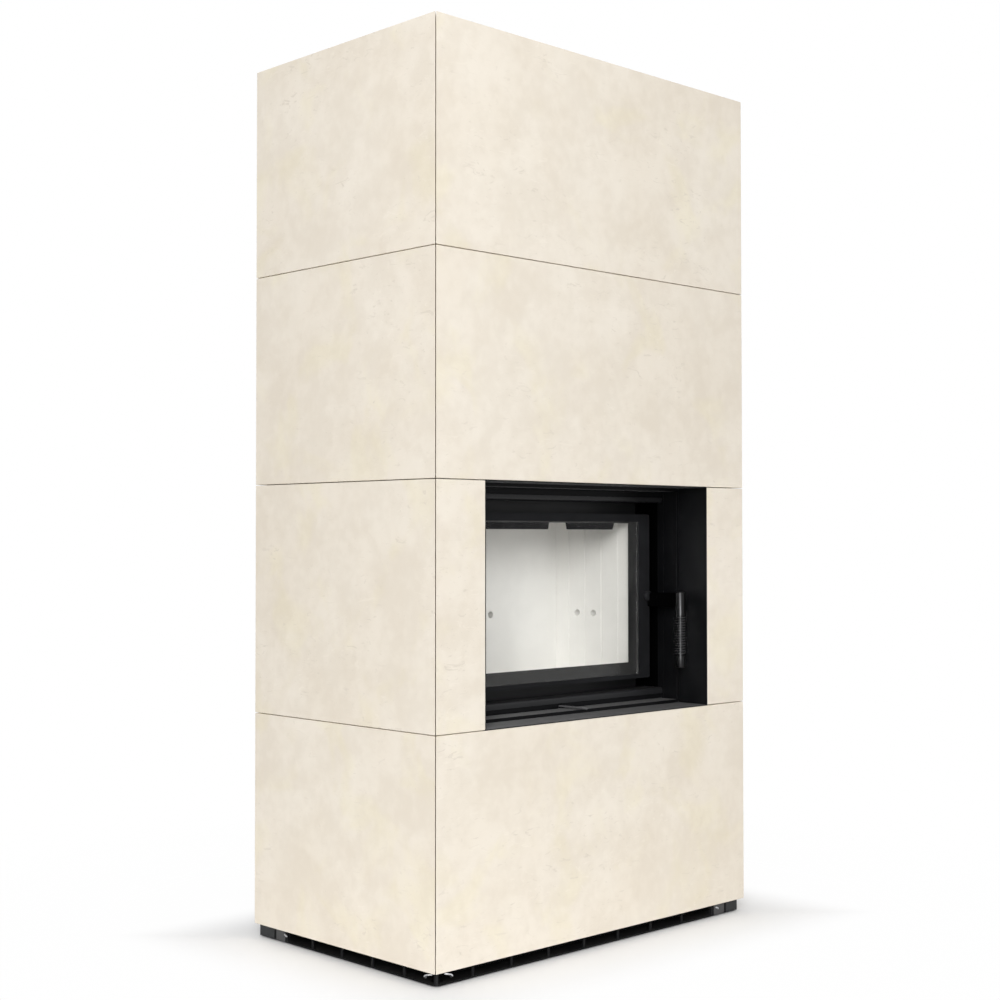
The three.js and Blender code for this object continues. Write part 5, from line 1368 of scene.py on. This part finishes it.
def make_stage():
    """Floor, lamps, surroundings and camera."""
    angle = np.linspace(0, 2 * math.pi, FLOOR_SIDES, endpoint=False)
    rim = FLOOR_RADIUS * np.stack([np.cos(angle), np.sin(angle), 0 * angle], -1)
    mesh = bpy.data.meshes.new("studio_floor")
    shells_into(mesh, [(rim, [np.arange(FLOOR_SIDES)[None, :]])])
    floor = linked("studio_floor", mesh)
    mesh.materials.append(floor_finish())
    make_world()
    middle = (0, 0, 1.0)
    lamp("key_lamp", (-5.0, -4.7, 3.1), middle, 3.0, 0.71)
    lamp("fill_lamp", (4.8, -4.4, 2.2), middle, 3.0, 0.05, mirrored=False)
    lamp("top_lamp", (-0.5, -1.0, 6.0), middle, 3.5, 0.18)
    lamp("back_lamp", (1.5, 5.5, 3.0), middle, 3.0, 0.16)
    pier, handle, hearth = (0.6, -0.34, 0.84), (0.35, -0.29, 0.75), (-0.05, 0.1, 0.80)
    lamp("pier_lamp", (2.0, -4.8, 1.2), pier, 0.4, 0.12, mirrored=False, spread=math.radians(10))
    screen("strip_lamp", (-2.87, -4.1, 0.8), handle, (0.9, 1.5), 65.0, True)
    screen("firebox_lamp", (-0.05, -0.13, 0.80), hearth, (0.56, 0.34), 0.27, False, math.radians(70))
    stage = bpy.context.scene.stove_stage
    lens = bpy.data.cameras.new("camera")
    lens.lens, lens.sensor_width, lens.sensor_fit = stage.lens, 36.0, "HORIZONTAL"
    lens.clip_end = 60.0
    camera = linked("camera", lens)
    camera.location, camera.rotation_euler = stage.camera_place, stage.camera_turn
    bpy.context.scene.camera = camera
    bpy.context.scene.view_settings.view_transform = "Standard"


# ---- Operators --------------------------------------------------------------


class STOVE_OT_tiles(bpy.types.Operator):
    """Cast stone tiles, mitred at the casing's corners, with softened arrises"""

    bl_idname = "stove.tiles"
    bl_label = "Tiles"

    def execute(self, context):
        make_tiles()
        return {"FINISHED"}


class STOVE_OT_plinth(bpy.types.Operator):
    """Plinth with its air slots, hooks and levelling feet"""

    bl_idname = "stove.plinth"
    bl_label = "Plinth"

    def execute(self, context):
        make_plinth()
        return {"FINISHED"}


class STOVE_OT_casing_frame(bpy.types.Operator):
    """Angle iron and insulation inside the casing"""

    bl_idname = "stove.casing_frame"
    bl_label = "Casing frame"

    def execute(self, context):
        make_frame()
        return {"FINISHED"}


class STOVE_OT_panels(bpy.types.Operator):
    """Rear panel and top plate with their screws"""

    bl_idname = "stove.panels"
    bl_label = "Panels"

    def execute(self, context):
        make_panels()
        return {"FINISHED"}


class STOVE_OT_niche(bpy.types.Operator):
    """Steel sleeves of the niche and the rails over and under the door"""

    bl_idname = "stove.niche"
    bl_label = "Niche"

    def execute(self, context):
        make_niche()
        return {"FINISHED"}


class STOVE_OT_insert(bpy.types.Operator):
    """Front plate, body, hinge pins and stand of the insert"""

    bl_idname = "stove.insert"
    bl_label = "Insert"

    def execute(self, context):
        make_insert()
        return {"FINISHED"}


class STOVE_OT_lining(bpy.types.Operator):
    """Firebox boards, hearth, baffle and grate"""

    bl_idname = "stove.lining"
    bl_label = "Lining"

    def execute(self, context):
        make_lining()
        return {"FINISHED"}


class STOVE_OT_flue(bpy.types.Operator):
    """Collar and flue pipe"""

    bl_idname = "stove.flue"
    bl_label = "Flue"

    def execute(self, context):
        make_flue()
        return {"FINISHED"}


class STOVE_OT_air(bpy.types.Operator):
    """Air box, duct, damper and control rod"""

    bl_idname = "stove.air"
    bl_label = "Air supply"

    def execute(self, context):
        make_air()
        return {"FINISHED"}


class STOVE_OT_door(bpy.types.Operator):
    """Door leaf, pane with its printed border, seal and clips"""

    bl_idname = "stove.door"
    bl_label = "Door"

    def execute(self, context):
        make_door()
        return {"FINISHED"}


class STOVE_OT_handle(bpy.types.Operator):
    """Handle with its wire coil, and the latch"""

    bl_idname = "stove.handle"
    bl_label = "Handle"

    def execute(self, context):
        make_handle()
        return {"FINISHED"}


class STOVE_OT_stage(bpy.types.Operator):
    """White floor, soft lamps and the camera"""

    bl_idname = "stove.stage"
    bl_label = "Stage"

    def execute(self, context):
        make_stage()
        return {"FINISHED"}


OPERATORS = (
    STOVE_OT_tiles,
    STOVE_OT_plinth,
    STOVE_OT_casing_frame,
    STOVE_OT_panels,
    STOVE_OT_niche,
    STOVE_OT_insert,
    STOVE_OT_lining,
    STOVE_OT_flue,
    STOVE_OT_air,
    STOVE_OT_door,
    STOVE_OT_handle,
    STOVE_OT_stage,
)


class STOVE_PT_sidebar(bpy.types.Panel):
    """Sizes, colours and making steps of the stove"""

    bl_label = "Tiled Stove"
    bl_idname = "STOVE_PT_sidebar"
    bl_space_type = "VIEW_3D"
    bl_region_type = "UI"
    bl_category = "Tiled Stove"

    def draw(self, context):
        for settings in (context.scene.stove_finish, context.scene.stove_sizes, context.scene.stove_stage):
            box = self.layout.box()
            for name in settings.__annotations__:
                box.prop(settings, name)
        for each in OPERATORS:
            self.layout.operator(each.bl_idname)


SETTINGS = {"stove_finish": StoveFinish, "stove_sizes": StoveSizes, "stove_stage": StoveStage}


def register():
    for each in (*SETTINGS.values(), *OPERATORS, STOVE_PT_sidebar):
        bpy.utils.register_class(each)
    for name, settings in SETTINGS.items():
        setattr(bpy.types.Scene, name, bpy.props.PointerProperty(type=settings))


def unregister():
    for name in SETTINGS:
        delattr(bpy.types.Scene, name)
    for each in (STOVE_PT_sidebar, *reversed(OPERATORS), *SETTINGS.values()):
        bpy.utils.unregister_class(each)


def main():
    register()
    for step in (
        bpy.ops.stove.tiles,
        bpy.ops.stove.plinth,
        bpy.ops.stove.casing_frame,
        bpy.ops.stove.panels,
        bpy.ops.stove.niche,
        bpy.ops.stove.insert,
        bpy.ops.stove.lining,
        bpy.ops.stove.flue,
        bpy.ops.stove.air,
        bpy.ops.stove.door,
        bpy.ops.stove.handle,
        bpy.ops.stove.stage,
    ):
        step()


if __name__ == "__main__":
    main()
